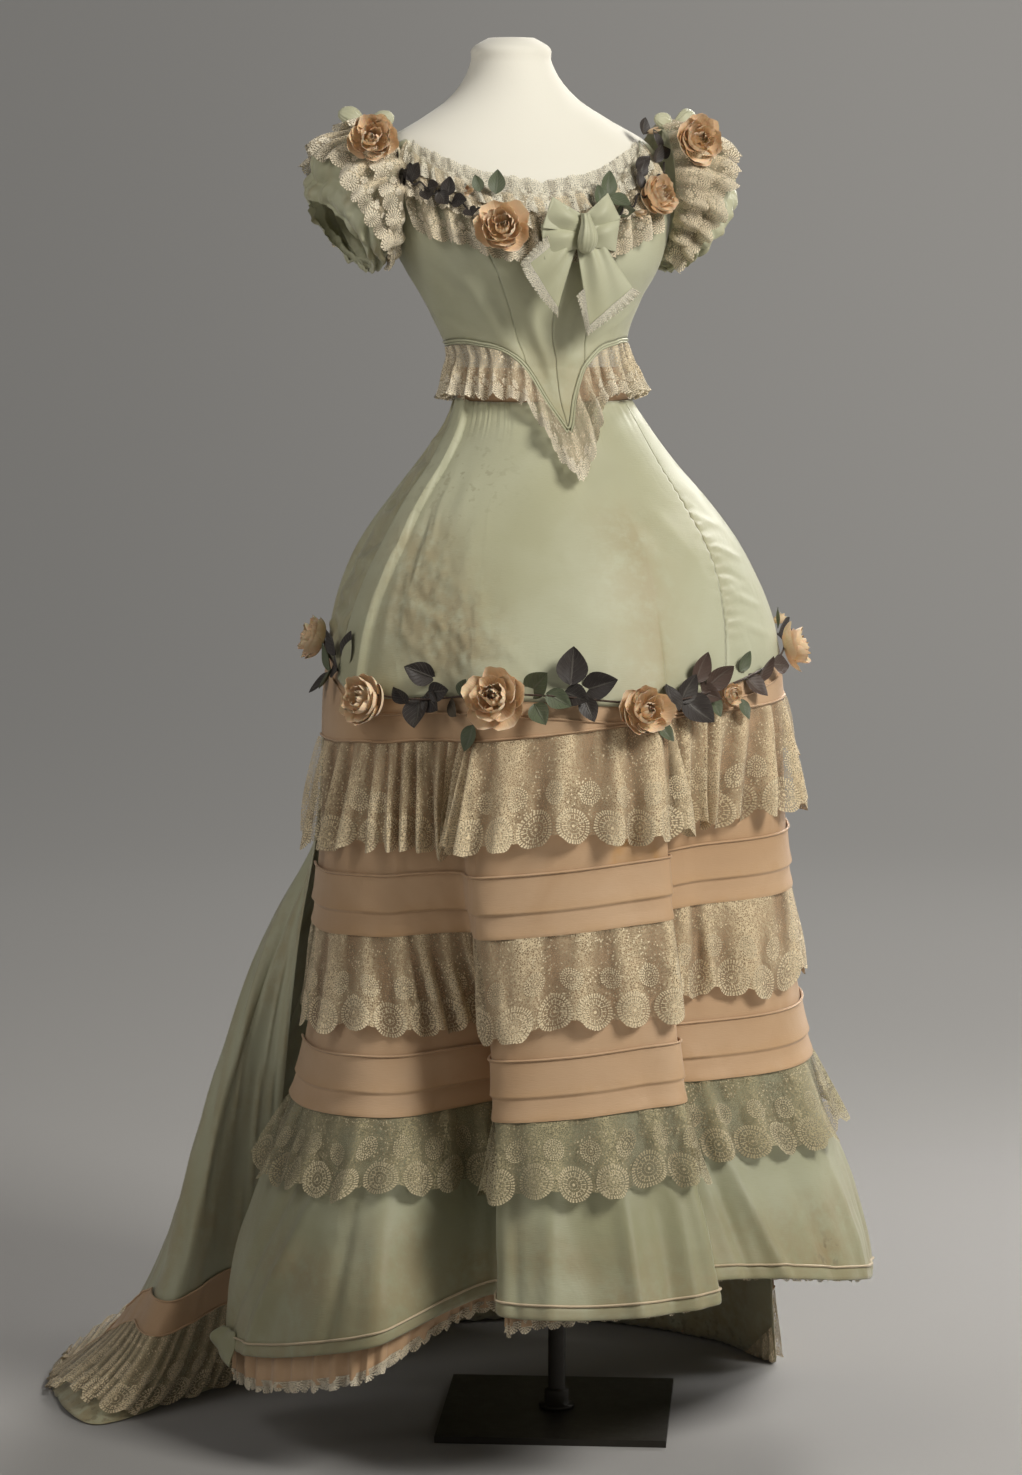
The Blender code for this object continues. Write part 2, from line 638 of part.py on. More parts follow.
def build_waist():
    """The peach waistband, snug on the form, and the gathered lace below the basque."""
    angle = np.arange(FORM_COLUMNS)[:, None] * 360 / FORM_COLUMNS + BODICE_TURN
    height = np.array([[WAIST_TOP, WAIST_FOOT]])

    def surface(a, h):
        return ring_point(FORM, a, h, 0.5 + CLOTH)

    full_angle, full_height = angle + 0 * height, height + 0 * angle
    out = facing(surface, full_angle, full_height, 0.5, -1.0)
    wall("waistband", surface(full_angle, full_height), out, CLOTH, PEACH_SILK, ring=True)
    corners = basque_angles()
    angle = halved(corners)[:-1, None]
    columns = len(angle)
    fallen = np.linspace(0, 1, 3)[None]

    def fall(a, f):
        turned = (a + 180) % 360 - 180
        top = np.interp(turned, corners, below_basque(2 * PIPING_RADIUS + 3 * SEAM))
        return bodice_section(a, top - f * (52 - 6 * np.cos(np.radians(2 * turned))), LACE + 15 * f)

    grid_angle, grid_fallen = angle + 0 * fallen, fallen + 0 * angle
    out = facing(fall, grid_angle, grid_fallen, 0.5, 0.01)
    wave = np.where(np.arange(columns) % 2, -3.5, 3.5)[:, None] * fallen
    wall("peplum_lace", fall(grid_angle, grid_fallen) + wave[..., None] * out, out, LACE, CREAM_LACE, ring=True)


def build_apron():
    """The apron from waist to garland: a front, a plain left side and a ruched right side."""
    spans = (("apron_side_right", 0, APRON_LEFT_SEAM, 4), ("apron_front", APRON_LEFT_SEAM, APRON_RIGHT_SEAM, 14),
             ("apron_side_left", APRON_RIGHT_SEAM, FOLD_COUNT - 1, 4))
    for name, first, last, columns in spans:
        at = np.linspace(first, last, columns)
        at[0] += 0.02 if first else 0.0
        top = np.full(columns, WAIST_FOOT - SEAM)
        foot = along(FOLDS, "edge", at)
        share = np.array([0, 0.1, 0.23, 0.38, 0.55, 0.77])
        heights = top[:, None] + share[None] * (foot - top)[:, None]
        heights = np.concatenate([heights, foot[:, None] + PEACH_UNDER_APRON, foot[:, None]], axis=1)
        over = np.array([0, 0, 0, 0, 0, 0.6, 1.0, 1.0]) * (CLOTH + 2 * SEAM)
        ripple = np.array([0, 2, 4, 4, 4, 2, 0, 0]) if name == "apron_side_right" else None
        tier(name, at, heights, over, CLOTH, GREEN_SILK, ripple)


def build_front_skirt():
    """The peach skirt with its tiers of lace and tucks, the green hem and the dust ruffle."""
    at = np.arange(FOLD_COUNT, dtype=float)

    def rows(*levels):
        return FOLDS["lift"][:, None] + np.array(levels)[None]

    edge = FOLDS["edge"][:, None]
    levels = rows(PEACH_BAND_FOOT, 750, UPPER_TUCK_TOP, UPPER_TUCK_FOLD, UPPER_TUCK_FOOT, 550, LACE_2_FOOT,
                  LOWER_TUCK_TOP, LOWER_TUCK_FOLD, LOWER_TUCK_FOOT)
    levels = np.concatenate([edge + PEACH_UNDER_APRON, edge, levels], axis=1)
    tier("peach_skirt", at, levels, [0.0] * levels.shape[1], CLOTH, PEACH_SILK)
    band = np.concatenate([edge - SEAM, rows(PEACH_BAND_FOOT)], axis=1)
    tier("peach_band", at, band, [CLOTH + SEAM] * 2, CLOTH, PEACH_SILK)
    for name, top, fold, foot in (("upper_tucks", UPPER_TUCK_TOP, UPPER_TUCK_FOLD, UPPER_TUCK_FOOT),
                                  ("lower_tucks", LOWER_TUCK_TOP, LOWER_TUCK_FOLD, LOWER_TUCK_FOOT)):
        tier(name, at, rows(top, fold, foot), [CLOTH + SEAM, CLOTH + 2.4, CLOTH + 1.2], CLOTH, PEACH_SILK)
    lace = LACE + SEAM
    tier("lace_flounce_1", at, rows(PEACH_BAND_FOOT - SEAM, 750, LACE_1_FOOT),
         [lace, lace + 9, lace + 12], LACE, CREAM_LACE, [0, 4, 6], fine=True)
    tier("lace_flounce_2", at, rows(UPPER_TUCK_FOOT - SEAM, 550, LACE_2_FOOT),
         [lace + 1, lace + 6.5, lace + 8], LACE, CREAM_LACE, [0, 2, 3], fine=True)
    hem = FOLDS["hem"][:, None]
    start = rows(LOWER_TUCK_FOOT) - SEAM
    seam = hem + HEM_BAND_WIDTH
    ruffle_top = hem + RUFFLE_TOP
    lace_3_foot = start - LACE_3_DROP
    middle = (lace_3_foot + ruffle_top) / 2
    hem_rows = np.concatenate([start, lace_3_foot, middle, ruffle_top, seam], axis=1)
    tier("hem_panel", at, hem_rows, [0.0] * 5, CLOTH, GREEN_SILK)
    tier("hem_band", at, np.concatenate([seam - SEAM, hem], axis=1), [0.0] * 2, CLOTH, GREEN_SILK)
    tier("lace_flounce_3", at, np.concatenate([start - SEAM, lace_3_foot], axis=1), [lace, lace + 8],
         LACE, CREAM_LACE, [0, 3], fine=True)
    points, out = skirt_grid(at, seam)
    ahead = np.gradient(points[:, 0], axis=0)
    ahead /= np.linalg.norm(ahead, axis=1, keepdims=True)
    radius = 1.6
    tube("hem_piping", points[:, 0] + (radius + SEAM) * out[:, 0], np.cross(ahead, out[:, 0]), out[:, 0], radius,
         PEACH_SILK)
    shows = np.interp(at, (0, 5, 9, FOLD_COUNT - 1), RUFFLE_SHOWS)[:, None]
    inside = -CLOTH - 2 * SEAM
    tier("dust_ruffle", at, np.concatenate([ruffle_top, seam, hem - shows], axis=1),
         [inside, inside, inside - 1.5], CLOTH, PEACH_SILK)


def build_train():
    """Three breadths from the waist to the floor and out behind, with a band and lace at the hem."""
    def grid(at, marks):
        lines = train_line(at)
        length = np.linalg.norm(np.diff(lines, axis=-2), axis=-1).sum(axis=-1)
        fixed = np.array(marks, float)[None] + 0 * length[:, None]
        return fixed, length

    hem_marks = (TRAIN_LACE_WIDTH + TRAIN_BAND_WIDTH, TRAIN_LACE_WIDTH, TRAIN_LACE_WIDTH / 2, 0.0)

    def surface(at, up_from_hem):
        return train_point(at, up_from_hem)

    def placed(at, up_from_hem):
        at = at[:, None] + 0 * up_from_hem
        out = facing(surface, at, up_from_hem, 0.02, -4.0)
        floor_share = np.clip(1 - (surface(at, up_from_hem)[..., 2] - TRAIN_FLOOR) / 8, 0, 1)[..., None]
        trails = (np.hypot(along(TRAIN, "tail_x", at) - along(TRAIN, "floor_x", at),
                           along(TRAIN, "tail_y", at) - along(TRAIN, "floor_y", at)) > 60)[..., None]
        upright = np.array([0.0, 0.0, 1.0]) * floor_share * trails
        out = out * (1 - floor_share * trails) + upright
        out[..., 2] = np.maximum(out[..., 2], 0.05)
        return surface(at, up_from_hem), out / np.linalg.norm(out, axis=-1, keepdims=True)

    names = ("train_left", "train_centre", "train_right")
    for name, first, last, columns in zip(names, TRAIN_SEAMS, TRAIN_SEAMS[1:], (5, 5, 9)):
        at = np.linspace(first, last, columns)
        at[0] += 0.008 if first else 0.0
        at[-1] -= 0.008 if last < TRAIN_SEAMS[-1] else 0.0
        fixed, length = grid(at, hem_marks)
        share = np.linspace(1, 0, 9)[None, :-1]
        upper = fixed[:, :1] + share * (length[:, None] - fixed[:, :1])
        points, out = placed(at, np.concatenate([upper, fixed], axis=1))
        wall(name, points, out, CLOTH, GREEN_SILK)
    at = np.concatenate([np.linspace(0, 3, 5), np.linspace(3, 6, 5)[1:], np.linspace(6, 11, 9)[1:]])
    fixed, length = grid(at, hem_marks)
    points, out = placed(at, fixed)
    lift = (CLOTH + 2 * SEAM) * out
    wall("train_band", points[:, :2] + lift[:, :2], out[:, :2], CLOTH, PEACH_SILK)
    away = (LACE + 2 * SEAM) * out[:, 1:]
    points = points[:, 1:] + away
    points[:, 0] = points[:, 0] + 0.01 * (points[:, 1] - points[:, 0])
    wall("train_lace", points, out[:, 1:], LACE, CREAM_LACE)


def over_bertha(below):
    """How far off the bodice the garland's outer side lies, by its distance below the neckline."""
    share = (below - BERTHA_TOP) / (BERTHA_FOOT - BERTHA_TOP)
    return 2 * LACE + SEAM + (BERTHA_STANDS + BERTHA_RIPPLE) * share


def build_garlands():
    """Leafy garlands on the hips and the neckline, as walls with a leaf outline, and the roses."""
    at = np.concatenate([[0, 1 / 3, 2 / 3], np.arange(1.0, FOLD_COUNT)])
    middle = along(FOLDS, "edge", at)
    leaf = np.where(np.arange(len(at)) % 2, 30.0, 14.0)
    heights = np.stack([middle + leaf, middle + PEACH_UNDER_APRON, middle, middle - 44 + leaf], axis=1)
    away = 2 * CLOTH + 1.5
    lift = np.array([away + 2, away, away, away + 2])
    tier("hip_garland", at, heights, lift, LACE, LEAF_CLOTH)
    points, out = skirt_grid(at, heights)
    points = points + lift[:, None] * out
    roses = table(
        "at drop radius height",
        (0.15, -6, 24, 26), (2.4, 8, 30, 30), (8.2, 8, 32, 34), (10.3, 10, 30, 30), (13.7, 2, 16, 24),
        (15.7, -4, 27, 30), (16.7, -12, 13, 24),
    )
    for number in range(len(roses["at"])):
        spot = roses["at"][number]
        share = roses["drop"][number] / 30
        centre, away = (sum((1 - share if row == 2 else share) * np.array([
            np.interp(spot, at, grid[:, row, axis]) for axis in range(3)]) for row in (2, 3))
            for grid in (points, out))
        blossom(f"hip_rose_{number + 1}", centre + 0.9 * away, away, roses["radius"][number],
                roses["height"][number], 5, ROSE_CLOTH)
    for label, first, last in (("right", -54, -12), ("left", 20, 54)):
        columns = 15
        leaf = np.where(np.arange(columns) % 2, 11.0, 4.0)
        angle = np.linspace(first, last, columns)[:, None]
        below = GARLAND_BELOW_NECKLINE + np.stack([-leaf, 0 * leaf, leaf], axis=1)
        heights = neckline(angle) - below
        out = facing(bodice_section, angle + 0 * heights, heights, 0.5, -1.0)
        outer = bodice_section(angle + 0 * heights, heights) + over_bertha(below)[..., None] * out
        wall(f"neck_garland_{label}", outer, out, LACE, LEAF_CLOTH)
    neck_roses = table(
        "angle height out radius rise",
        (-19, 1359, 1.0, 27, 26), (49, 1396, 1.0, 20, 24),
    )
    for number in range(len(neck_roses["angle"])):
        angle = np.array(neck_roses["angle"][number])
        height = np.array(neck_roses["height"][number])
        out = facing(bodice_section, angle, height, 0.5, -1.0)
        lift = over_bertha(neckline(angle) - height) + neck_roses["out"][number]
        centre = bodice_section(angle, height) + lift * out
        blossom(f"neck_rose_{number + 1}", centre, out, neck_roses["radius"][number], neck_roses["rise"][number],
                5, ROSE_CLOTH)
    for side, label in ((1, "left"), (-1, "right")):
        step = side * 2 * math.pi / SLEEVE_COLUMNS
        start = sleeve_point(side, np.array(-step), np.array(1.0), 0.0)
        out, across, down = direction_frame(start - np.array([SLEEVE_CENTRE_X, SLEEVE_CENTRE_Y, 1394.0]))
        ribbon(f"shoulder_ribbon_{label}", start, side * across, out, down, 30, 14, 26, True, GREEN_SILK)
        spot = sleeve_point(side, np.array(step), np.array(1.0), 2.7)
        middle = sleeve_point(side, np.array(step), np.array(1.0), -40)
        blossom(f"shoulder_rose_{label}", spot, spot - middle, 24, 26, 5, ROSE_CLOTH)


def main():
    """Clear the scene and build the stand, then the dress from the bodice down."""
    for old in list(bpy.data.objects):
        bpy.data.objects.remove(old, do_unlink=True)
    build_stand()
    build_bodice()
    build_sleeves()
    build_neck_lace()
    build_bow()
    build_waist()
    build_apron()
    build_front_skirt()
    build_train()
    build_garlands()


if __name__ == "__main__":
    main()
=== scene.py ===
"""Looks of an evening dress with a swept train, on its limbless form, pole and base plate.

Sizes are millimetres and degrees in the tables and metres in the meshes. The origin is under the
middle of the base plate, +Z is up, the dress faces -Y, and +X is the wearer's left. A place on the
front of the skirt is a fold line's number and a height; a place on the body is an angle from the
centre front towards the wearer's left, and a height.
"""

import logging
import math
from dataclasses import dataclass, field
from enum import Enum
from typing import Callable, Optional, Sequence

import bpy
import numpy as np
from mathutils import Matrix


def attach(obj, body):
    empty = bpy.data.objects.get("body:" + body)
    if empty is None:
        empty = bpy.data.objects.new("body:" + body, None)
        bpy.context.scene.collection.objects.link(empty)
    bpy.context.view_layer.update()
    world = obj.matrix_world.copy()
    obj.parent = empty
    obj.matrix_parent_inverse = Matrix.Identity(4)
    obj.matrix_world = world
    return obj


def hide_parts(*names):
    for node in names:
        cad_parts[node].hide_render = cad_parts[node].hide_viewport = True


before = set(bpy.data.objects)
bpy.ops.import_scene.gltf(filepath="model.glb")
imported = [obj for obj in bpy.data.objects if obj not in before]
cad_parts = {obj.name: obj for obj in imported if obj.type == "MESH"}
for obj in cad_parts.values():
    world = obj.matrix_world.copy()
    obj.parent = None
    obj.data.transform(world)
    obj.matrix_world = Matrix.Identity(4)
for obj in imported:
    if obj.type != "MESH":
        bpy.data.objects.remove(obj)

LOG = logging.getLogger("evening_dress")
Array = np.ndarray
Rows = dict[str, Array]
Colour = tuple[float, float, float]
Surface = Callable[[Array, Array], Array]

MM = 0.001
BODY = "root"
CLOTH_UV = "cloth"


def table(columns: str, *rows: Sequence[float]) -> Rows:
    """Rows of numbers under named columns, as one array for each column."""
    return {name: np.array([float(row[i]) for row in rows]) for i, name in enumerate(columns.split())}


# The form, the skirt and their folds, the same sizes as the solids have
FORM = table(
    "height half_width front back centre_x centre_y",
    (1566, 26, 28, 28, -24, 96),
    (1557, 42, 43, 43, -24, 96),
    (1541, 45, 47, 48, -24, 96),
    (1518, 56, 54, 58, -23, 95),
    (1496, 77, 60, 66, -22, 93),
    (1474, 112, 68, 74, -21, 90),
    (1451, 152, 78, 80, -20, 87),
    (1425, 166, 92, 84, -19, 82),
    (1390, 166, 108, 86, -17, 74),
    (1350, 158, 120, 86, -15, 66),
    (1312, 142, 118, 85, -13, 58),
    (1273, 119, 98, 82, -12.5, 54),
    (1228, 100, 80, 76, -11, 49),
    (1200, 93, 74, 74, -8, 42),
    (1163, 97, 76, 80, -6, 33),
    (1110, 108, 82, 94, -4, 18),
    (1050, 124, 90, 106, -2, 8),
    (1012, 126, 92, 108, -2, 6),
)
SKIRT = table(
    "height half_width front back centre_x centre_y",
    (1200, 96.2, 77, 77, -8, 42),
    (1163, 101, 80, 84, -6, 33),
    (1139, 112, 90, 110, -5, 22),
    (1095, 140, 104, 205, -3, 12),
    (1050, 176, 128, 250, -2, 5),
    (1005, 206, 165, 285, 0, 0),
    (939, 238, 205, 300, 0, 0),
    (870, 252, 238, 312, -2, 0),
    (750, 258, 256, 322, -3, 0),
    (650, 262, 268, 330, -4, 0),
    (409, 290, 300, 360, 0, 0),
    (200, 352, 372, 420, 0, 0),
    (90, 366, 386, 430, 0, 0),
)
FOLDS = table(
    "waist_angle angle hem_angle inset_upper inset_lower inset_hem lift edge hem",
    (-106, -106, -99, 0, 0, -16, -30, 893, 96),
    (-88, -88, -82, -4, -6, -12, -26, 868, 112),
    (-74, -74, -64, -4, -4, -8, -20, 845, 140),
    (-65, -65, -53, 8, 25, 8, -18, 846, 160),
    (-60, -60, -48, 22, 75, 85, -15, 848, 180),
    (-53, -53, -43, 38, 120, 145, -12, 851, 190),
    (-46, -46, -36, 45, 142, 140, -11, 853, 194),
    (-40, -40, -31.5, 14, 70, 40, -10, 853, 204),
    (-35, -35, -28, 0, 10, 0, -8, 853, 207),
    (-18, -18, -14, -3, -4, -6, 0, 850, 207),
    (-2, -2, 0, -3, -4, -3, 8, 845, 209),
    (12, 9, 9.5, 0, 0, 8, 12, 848, 212),
    (18, 11.5, 13, 38, 102, 70, 12, 849, 215),
    (33, 21, 24, 46, 76, 62, 14, 853, 216),
    (50, 31, 37, 40, 50, 30, 15, 857, 208),
    (64, 53, 52, 2, 12, 6, 16, 872, 190),
    (78, 73, 73, 0, 0, 0, 17, 885, 163),
    (93, 93, 93, 0, 0, 0, 17, 893, 158),
)
LAST_FOLD = len(FOLDS["edge"]) - 1
TRAIN = table(
    "hip_angle floor_x floor_y tail_x tail_y flute",
    (93.15, 317, 117, 322, 140, 0),
    (112, 270, 255, 318, 400, 10),
    (128, 137, 391, 262, 680, -8),
    (145, -61, 426, 122, 875, 12),
    (162, -215, 490, -58, 935, -8),
    (178, -345, 540, -222, 850, 14),
    (196, -430, 452, -322, 662, -6),
    (208, -506, 350, -472, 430, 8),
    (219, -536, 240, -532, 250, -4),
    (230, -512, 124, -516, 114, 4),
    (242, -398, 190, -402, 182, -2),
    (253.6, -300, 262, -303, 255, 0),
)
SLEEVE = table(
    "out height tilt radius depth",
    (157, 1394, 0, 73, 66),
    (170, 1391, 7, 77, 80),
    (187, 1384, 15, 72, 76),
    (200, 1373, 25, 73, 80),
    (209, 1358, 34, 62, 70),
    (212, 1346, 41, 52, 60),
)
NECKLINE = table(
    "angle height",
    (0, 1384), (25, 1399), (46, 1428), (64, 1450), (76, 1410), (90, 1320),
    (104, 1370), (116, 1430), (126, 1448), (150, 1424), (180, 1410),
)
BASQUE = table(
    "angle height",
    (0, 1137), (8, 1168), (16, 1196), (28, 1218), (50, 1230), (90, 1229), (180, 1222),
)


def smooth(x: Array, xs: Array, ys: Array) -> Array:
    """A smooth curve through rows, level beyond its ends.

    Between two rows it is the cubic whose slopes at the rows are those of the rows around them.

    Args:
        x: Where the curve is read.
        xs: The rows' places, in any order.
        ys: The rows' values.

    Returns:
        The curve's values at x.
    """
    order = np.argsort(xs)
    xs, ys = np.asarray(xs, float)[order], np.asarray(ys, float)[order]
    slope = np.gradient(ys, xs)
    x = np.clip(x, xs[0], xs[-1])
    i = np.clip(np.searchsorted(xs, x) - 1, 0, len(xs) - 2)
    width = xs[i + 1] - xs[i]
    t = (x - xs[i]) / width
    start = ys[i] * (1 + 2 * t) * (1 - t) ** 2 + slope[i] * width * t * (1 - t) ** 2
    end = ys[i + 1] * t * t * (3 - 2 * t) + slope[i + 1] * width * t * t * (t - 1)
    return start + end


def step(x: Array, low: float, high: float) -> Array:
    """A smooth rise from 0 at low to 1 at high: 3 t squared less 2 t cubed."""
    t = np.clip((x - low) / (high - low), 0.0, 1.0)
    return t * t * (3 - 2 * t)


def blend(height: Array, levels: Sequence[float], values: Sequence[Array]) -> Array:
    """Mixes one value for each level smoothly by height; each value may be an array."""
    shares = np.eye(len(levels))
    return sum(smooth(height, np.array(levels, float), shares[i]) * values[i] for i in range(len(levels)))


def along(rows: Rows, column: str, at: Array) -> Array:
    """A column of a table read between its rows, at a row number that may be broken."""
    return smooth(at, np.arange(len(rows[column])), rows[column])


def ring_point(rows: Rows, angle: Array, height: Array, out: Array = 0.0) -> Array:
    """A point of a tube of half ellipses.

    Across it is the centre plus half width times the sine of the angle, and in depth the centre
    less the front or back depth times the cosine.

    Args:
        rows: The sections, by height.
        angle: Degrees from the centre front.
        height: Millimetres above the floor.
        out: Millimetres that both radii grow.

    Returns:
        Points, with a last axis of three.
    """
    turn = np.radians(angle)
    depth = np.where(np.cos(turn) > 0, smooth(height, rows["height"], rows["front"]),
                     smooth(height, rows["height"], rows["back"]))
    half_width = smooth(height, rows["height"], rows["half_width"])
    x = smooth(height, rows["height"], rows["centre_x"]) + (half_width + out) * np.sin(turn)
    y = smooth(height, rows["height"], rows["centre_y"]) - (depth + out) * np.cos(turn)
    return np.stack(np.broadcast_arrays(x, y, height + 0.0 * x), axis=-1)


def front_point(at: Array, height: Array) -> Array:
    """A point of the front skirt: its plain section less the folds' insets, mixed by height.

    Args:
        at: The fold line's number, which may be broken.
        height: Millimetres above the floor.

    Returns:
        Points, with a last axis of three.
    """
    angle = blend(height, (1163, 850, 650, 200), (
        along(FOLDS, "waist_angle", at), along(FOLDS, "angle", at),
        along(FOLDS, "angle", at), along(FOLDS, "hem_angle", at)))
    upper = along(FOLDS, "inset_upper", at)
    inset = blend(height, (960, 905, 815, 650, 409, 200), (
        0 * upper, 0.1 * upper, 0.4 * upper, upper,
        along(FOLDS, "inset_lower", at), along(FOLDS, "inset_hem", at)))
    return ring_point(SKIRT, angle, height, -inset)


def bodice_point(angle: Array, height: Array, out: Array = 0.0) -> Array:
    """A point of the bodice: over the form above the waist, mixed into the skirt's section below.

    Args:
        angle: Degrees from the bodice's centre front.
        height: Millimetres above the floor.
        out: Millimetres off the bodice.

    Returns:
        Points, with a last axis of three.
    """
    turned = angle + BodiceSizes.turn
    upper = ring_point(FORM, turned, height, BodiceSizes.ease + out)
    lower = ring_point(SKIRT, turned, height, BodiceSizes.ease_low + out)
    share = step(1232 - height, 0, 32)[..., None]
    return upper * (1 - share) + lower * share


def sleeve_point(side: int, turn: Array, at: Array, out: Array = 0.0) -> Array:
    """A point of a sleeve: rings whose middles run outwards and whose planes tilt, turn from the top.

    Args:
        side: 1 for the wearer's left, -1 for the right.
        turn: Radians round the ring from its top.
        at: The ring's number, which may be broken.
        out: Millimetres off the sleeve.

    Returns:
        Points, with a last axis of three.
    """
    tilt = np.radians(along(SLEEVE, "tilt", at))
    rise = (along(SLEEVE, "radius", at) + out) * np.cos(turn)
    x = SleeveSizes.centre_x + side * (along(SLEEVE, "out", at) + rise * np.sin(tilt))
    y = SleeveSizes.centre_y - side * (SleeveSizes.turn_y
                                       + (along(SLEEVE, "depth", at) + out) * np.sin(turn))
    z = along(SLEEVE, "height", at) + rise * np.cos(tilt)
    return np.stack(np.broadcast_arrays(x, y, z), axis=-1)


class SleeveSizes:
    """Where the sleeves sit on the body, in millimetres."""

    centre_x = -17.0
    centre_y = 78.0
    turn_y = 9.0


class BodiceSizes:
    """How the bodice is turned on the form and how far it stands off it."""

    turn = -4.0
    ease = 5.4
    ease_low = 2.6
    front_seam_top = 34.0
    front_seam_foot = 20.0
    side_seam = 92.0


@dataclass
class Grid:
    """A surface as a grid of points in millimetres, its columns across and its rows down.

    Args:
        points: Columns by rows by three.
        uv: Columns by rows by two, millimetres across and down the cloth, for the pattern.
        masks: Named shares from 0 to 1 at each point, for the finish.
        ring: Whether the last column joins the first.
    """

    points: Array
    uv: Optional[Array] = None
    masks: dict[str, Array] = field(default_factory=dict)
    ring: bool = False

    def normals(self) -> Array:
        """Outward directions: the step down crossed with the step across, of length 1.

        Returns:
            Directions, one for each point.
        """
        if self.ring:
            across = np.roll(self.points, -1, axis=0) - np.roll(self.points, 1, axis=0)
        else:
            across = np.gradient(self.points, axis=0)
        out = np.cross(np.gradient(self.points, axis=1), across)
        return out / np.maximum(np.linalg.norm(out, axis=-1, keepdims=True), 1e-9)

    def moved(self, away: Array) -> "Grid":
        """The same grid moved outwards by some millimetres at each point."""
        return Grid(self.points + away[..., None] * self.normals(), self.uv, self.masks, self.ring)

    def measured(self, across_row: int = -1) -> "Grid":
        """The same grid with a cloth map: lengths along one row, and down each column from its foot.

        Args:
            across_row: The row along which lengths across are measured.

        Returns:
            The grid with its map.
        """
        closed = self.points
        run = np.linalg.norm(np.diff(closed[:, across_row], axis=0), axis=-1)
        u = np.concatenate([[0.0], np.cumsum(run)])[:, None] + np.zeros(self.points.shape[1])[None]
        fall = np.linalg.norm(np.diff(closed, axis=1), axis=-1)
        down = np.concatenate([np.zeros((len(closed), 1)), np.cumsum(fall, axis=1)], axis=1)
        return Grid(self.points, np.stack([u, down[:, -1:] - down], axis=-1), self.masks, self.ring)

    def cut(self) -> tuple[float, float, float]:
        """Width, length and area of the cloth in metres, measured along the surface.

        Returns:
            The width, the length and the area.
        """
        closed = np.concatenate([self.points, self.points[:1]]) if self.ring else self.points
        across = np.linalg.norm(np.diff(closed, axis=0), axis=-1)
        down = np.linalg.norm(np.diff(closed, axis=1), axis=-1)
        diagonals = closed[1:, 1:] - closed[:-1, :-1], closed[1:, :-1] - closed[:-1, 1:]
        area = np.linalg.norm(np.cross(*diagonals), axis=-1).sum() / 2 * MM * MM
        return across.sum(axis=0).max() * MM, down.sum(axis=1).max() * MM, area

    def faces(self, start: int) -> Array:
        """Four-cornered faces over the grid, numbered from start, facing outwards.

        Args:
            start: The number of the grid's first point.

        Returns:
            Four point numbers for each face.
        """
        columns, rows = self.points.shape[:2]
        index = start + np.arange(columns * rows).reshape(columns, rows)
        if self.ring:
            index = np.concatenate([index, index[:1]])
        return np.stack([index[:-1, :-1], index[:-1, 1:], index[1:, 1:], index[1:, :-1]], -1).reshape(-1, 4)


def make_object(name: str, grids: Sequence[Grid], material: bpy.types.Material, thickness: float = 0.0,
                replaces: Sequence[str] = ()) -> bpy.types.Object:
    """Puts grids into one smooth mesh that rides on the stand.

    Args:
        name: The piece's name.
        grids: Its surfaces.
        material: Its finish.
        thickness: Millimetres of cloth added inwards, or 0 for none.
        replaces: CAD nodes that it stands for.

    Returns:
        The object.
    """
    starts = np.concatenate([[0], np.cumsum([g.points[..., 0].size for g in grids])])
    points = np.concatenate([g.points.reshape(-1, 3) for g in grids]) * MM
    faces = np.concatenate([g.faces(int(starts[i])) for i, g in enumerate(grids)])
    mesh = bpy.data.meshes.new(name)
    mesh.vertices.add(len(points))
    mesh.vertices.foreach_set("co", points.astype(np.float32).ravel())
    mesh.loops.add(faces.size)
    mesh.loops.foreach_set("vertex_index", faces.astype(np.int32).ravel())
    mesh.polygons.add(len(faces))
    mesh.polygons.foreach_set("loop_start", np.arange(0, faces.size, 4, dtype=np.int32))
    mesh.update(calc_edges=True)
    mesh.validate()
    if all(g.uv is not None for g in grids):
        uv = np.concatenate([g.uv.reshape(-1, 2) for g in grids])
        layer = mesh.uv_layers.new(name=CLOTH_UV)
        corner = np.empty(len(mesh.loops), np.int32)
        mesh.loops.foreach_get("vertex_index", corner)
        layer.data.foreach_set("uv", uv[corner].astype(np.float32).ravel())
    for mask in sorted({m for g in grids for m in g.masks}):
        values = [np.broadcast_to(g.masks.get(mask, 0.0), g.points.shape[:2]).ravel() for g in grids]
        attribute = mesh.attributes.new(mask, "FLOAT", "POINT")
        attribute.data.foreach_set("value", np.concatenate(values).astype(np.float32))
    mesh.shade_smooth()
    mesh.materials.append(material)
    made = bpy.data.objects.new(name, mesh)
    bpy.context.scene.collection.objects.link(made)
    if thickness:
        solid = made.modifiers.new("thickness", "SOLIDIFY")
        solid.thickness = thickness * MM
        solid.offset = -1.0
    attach(made, BODY)
    if replaces:
        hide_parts(*replaces)
    LOG.info("%s: %d faces", name, len(faces))
    return made


class Held(Enum):
    """How a piece of cloth is held."""

    STRETCHED = "stretched"
    HUNG = "hung"
    GATHERED = "gathered"
    FOLDED = "folded"


def declare_sheet(grids: Sequence[Grid], held: Held) -> None:
    """Measures a piece's cut: its widest run, its length and its whole area, and keeps none of them.

    Args:
        grids: All its cloth, with what is sewn on it.
        held: How it is held; not used.
    """
    sizes = [g.cut() for g in grids]


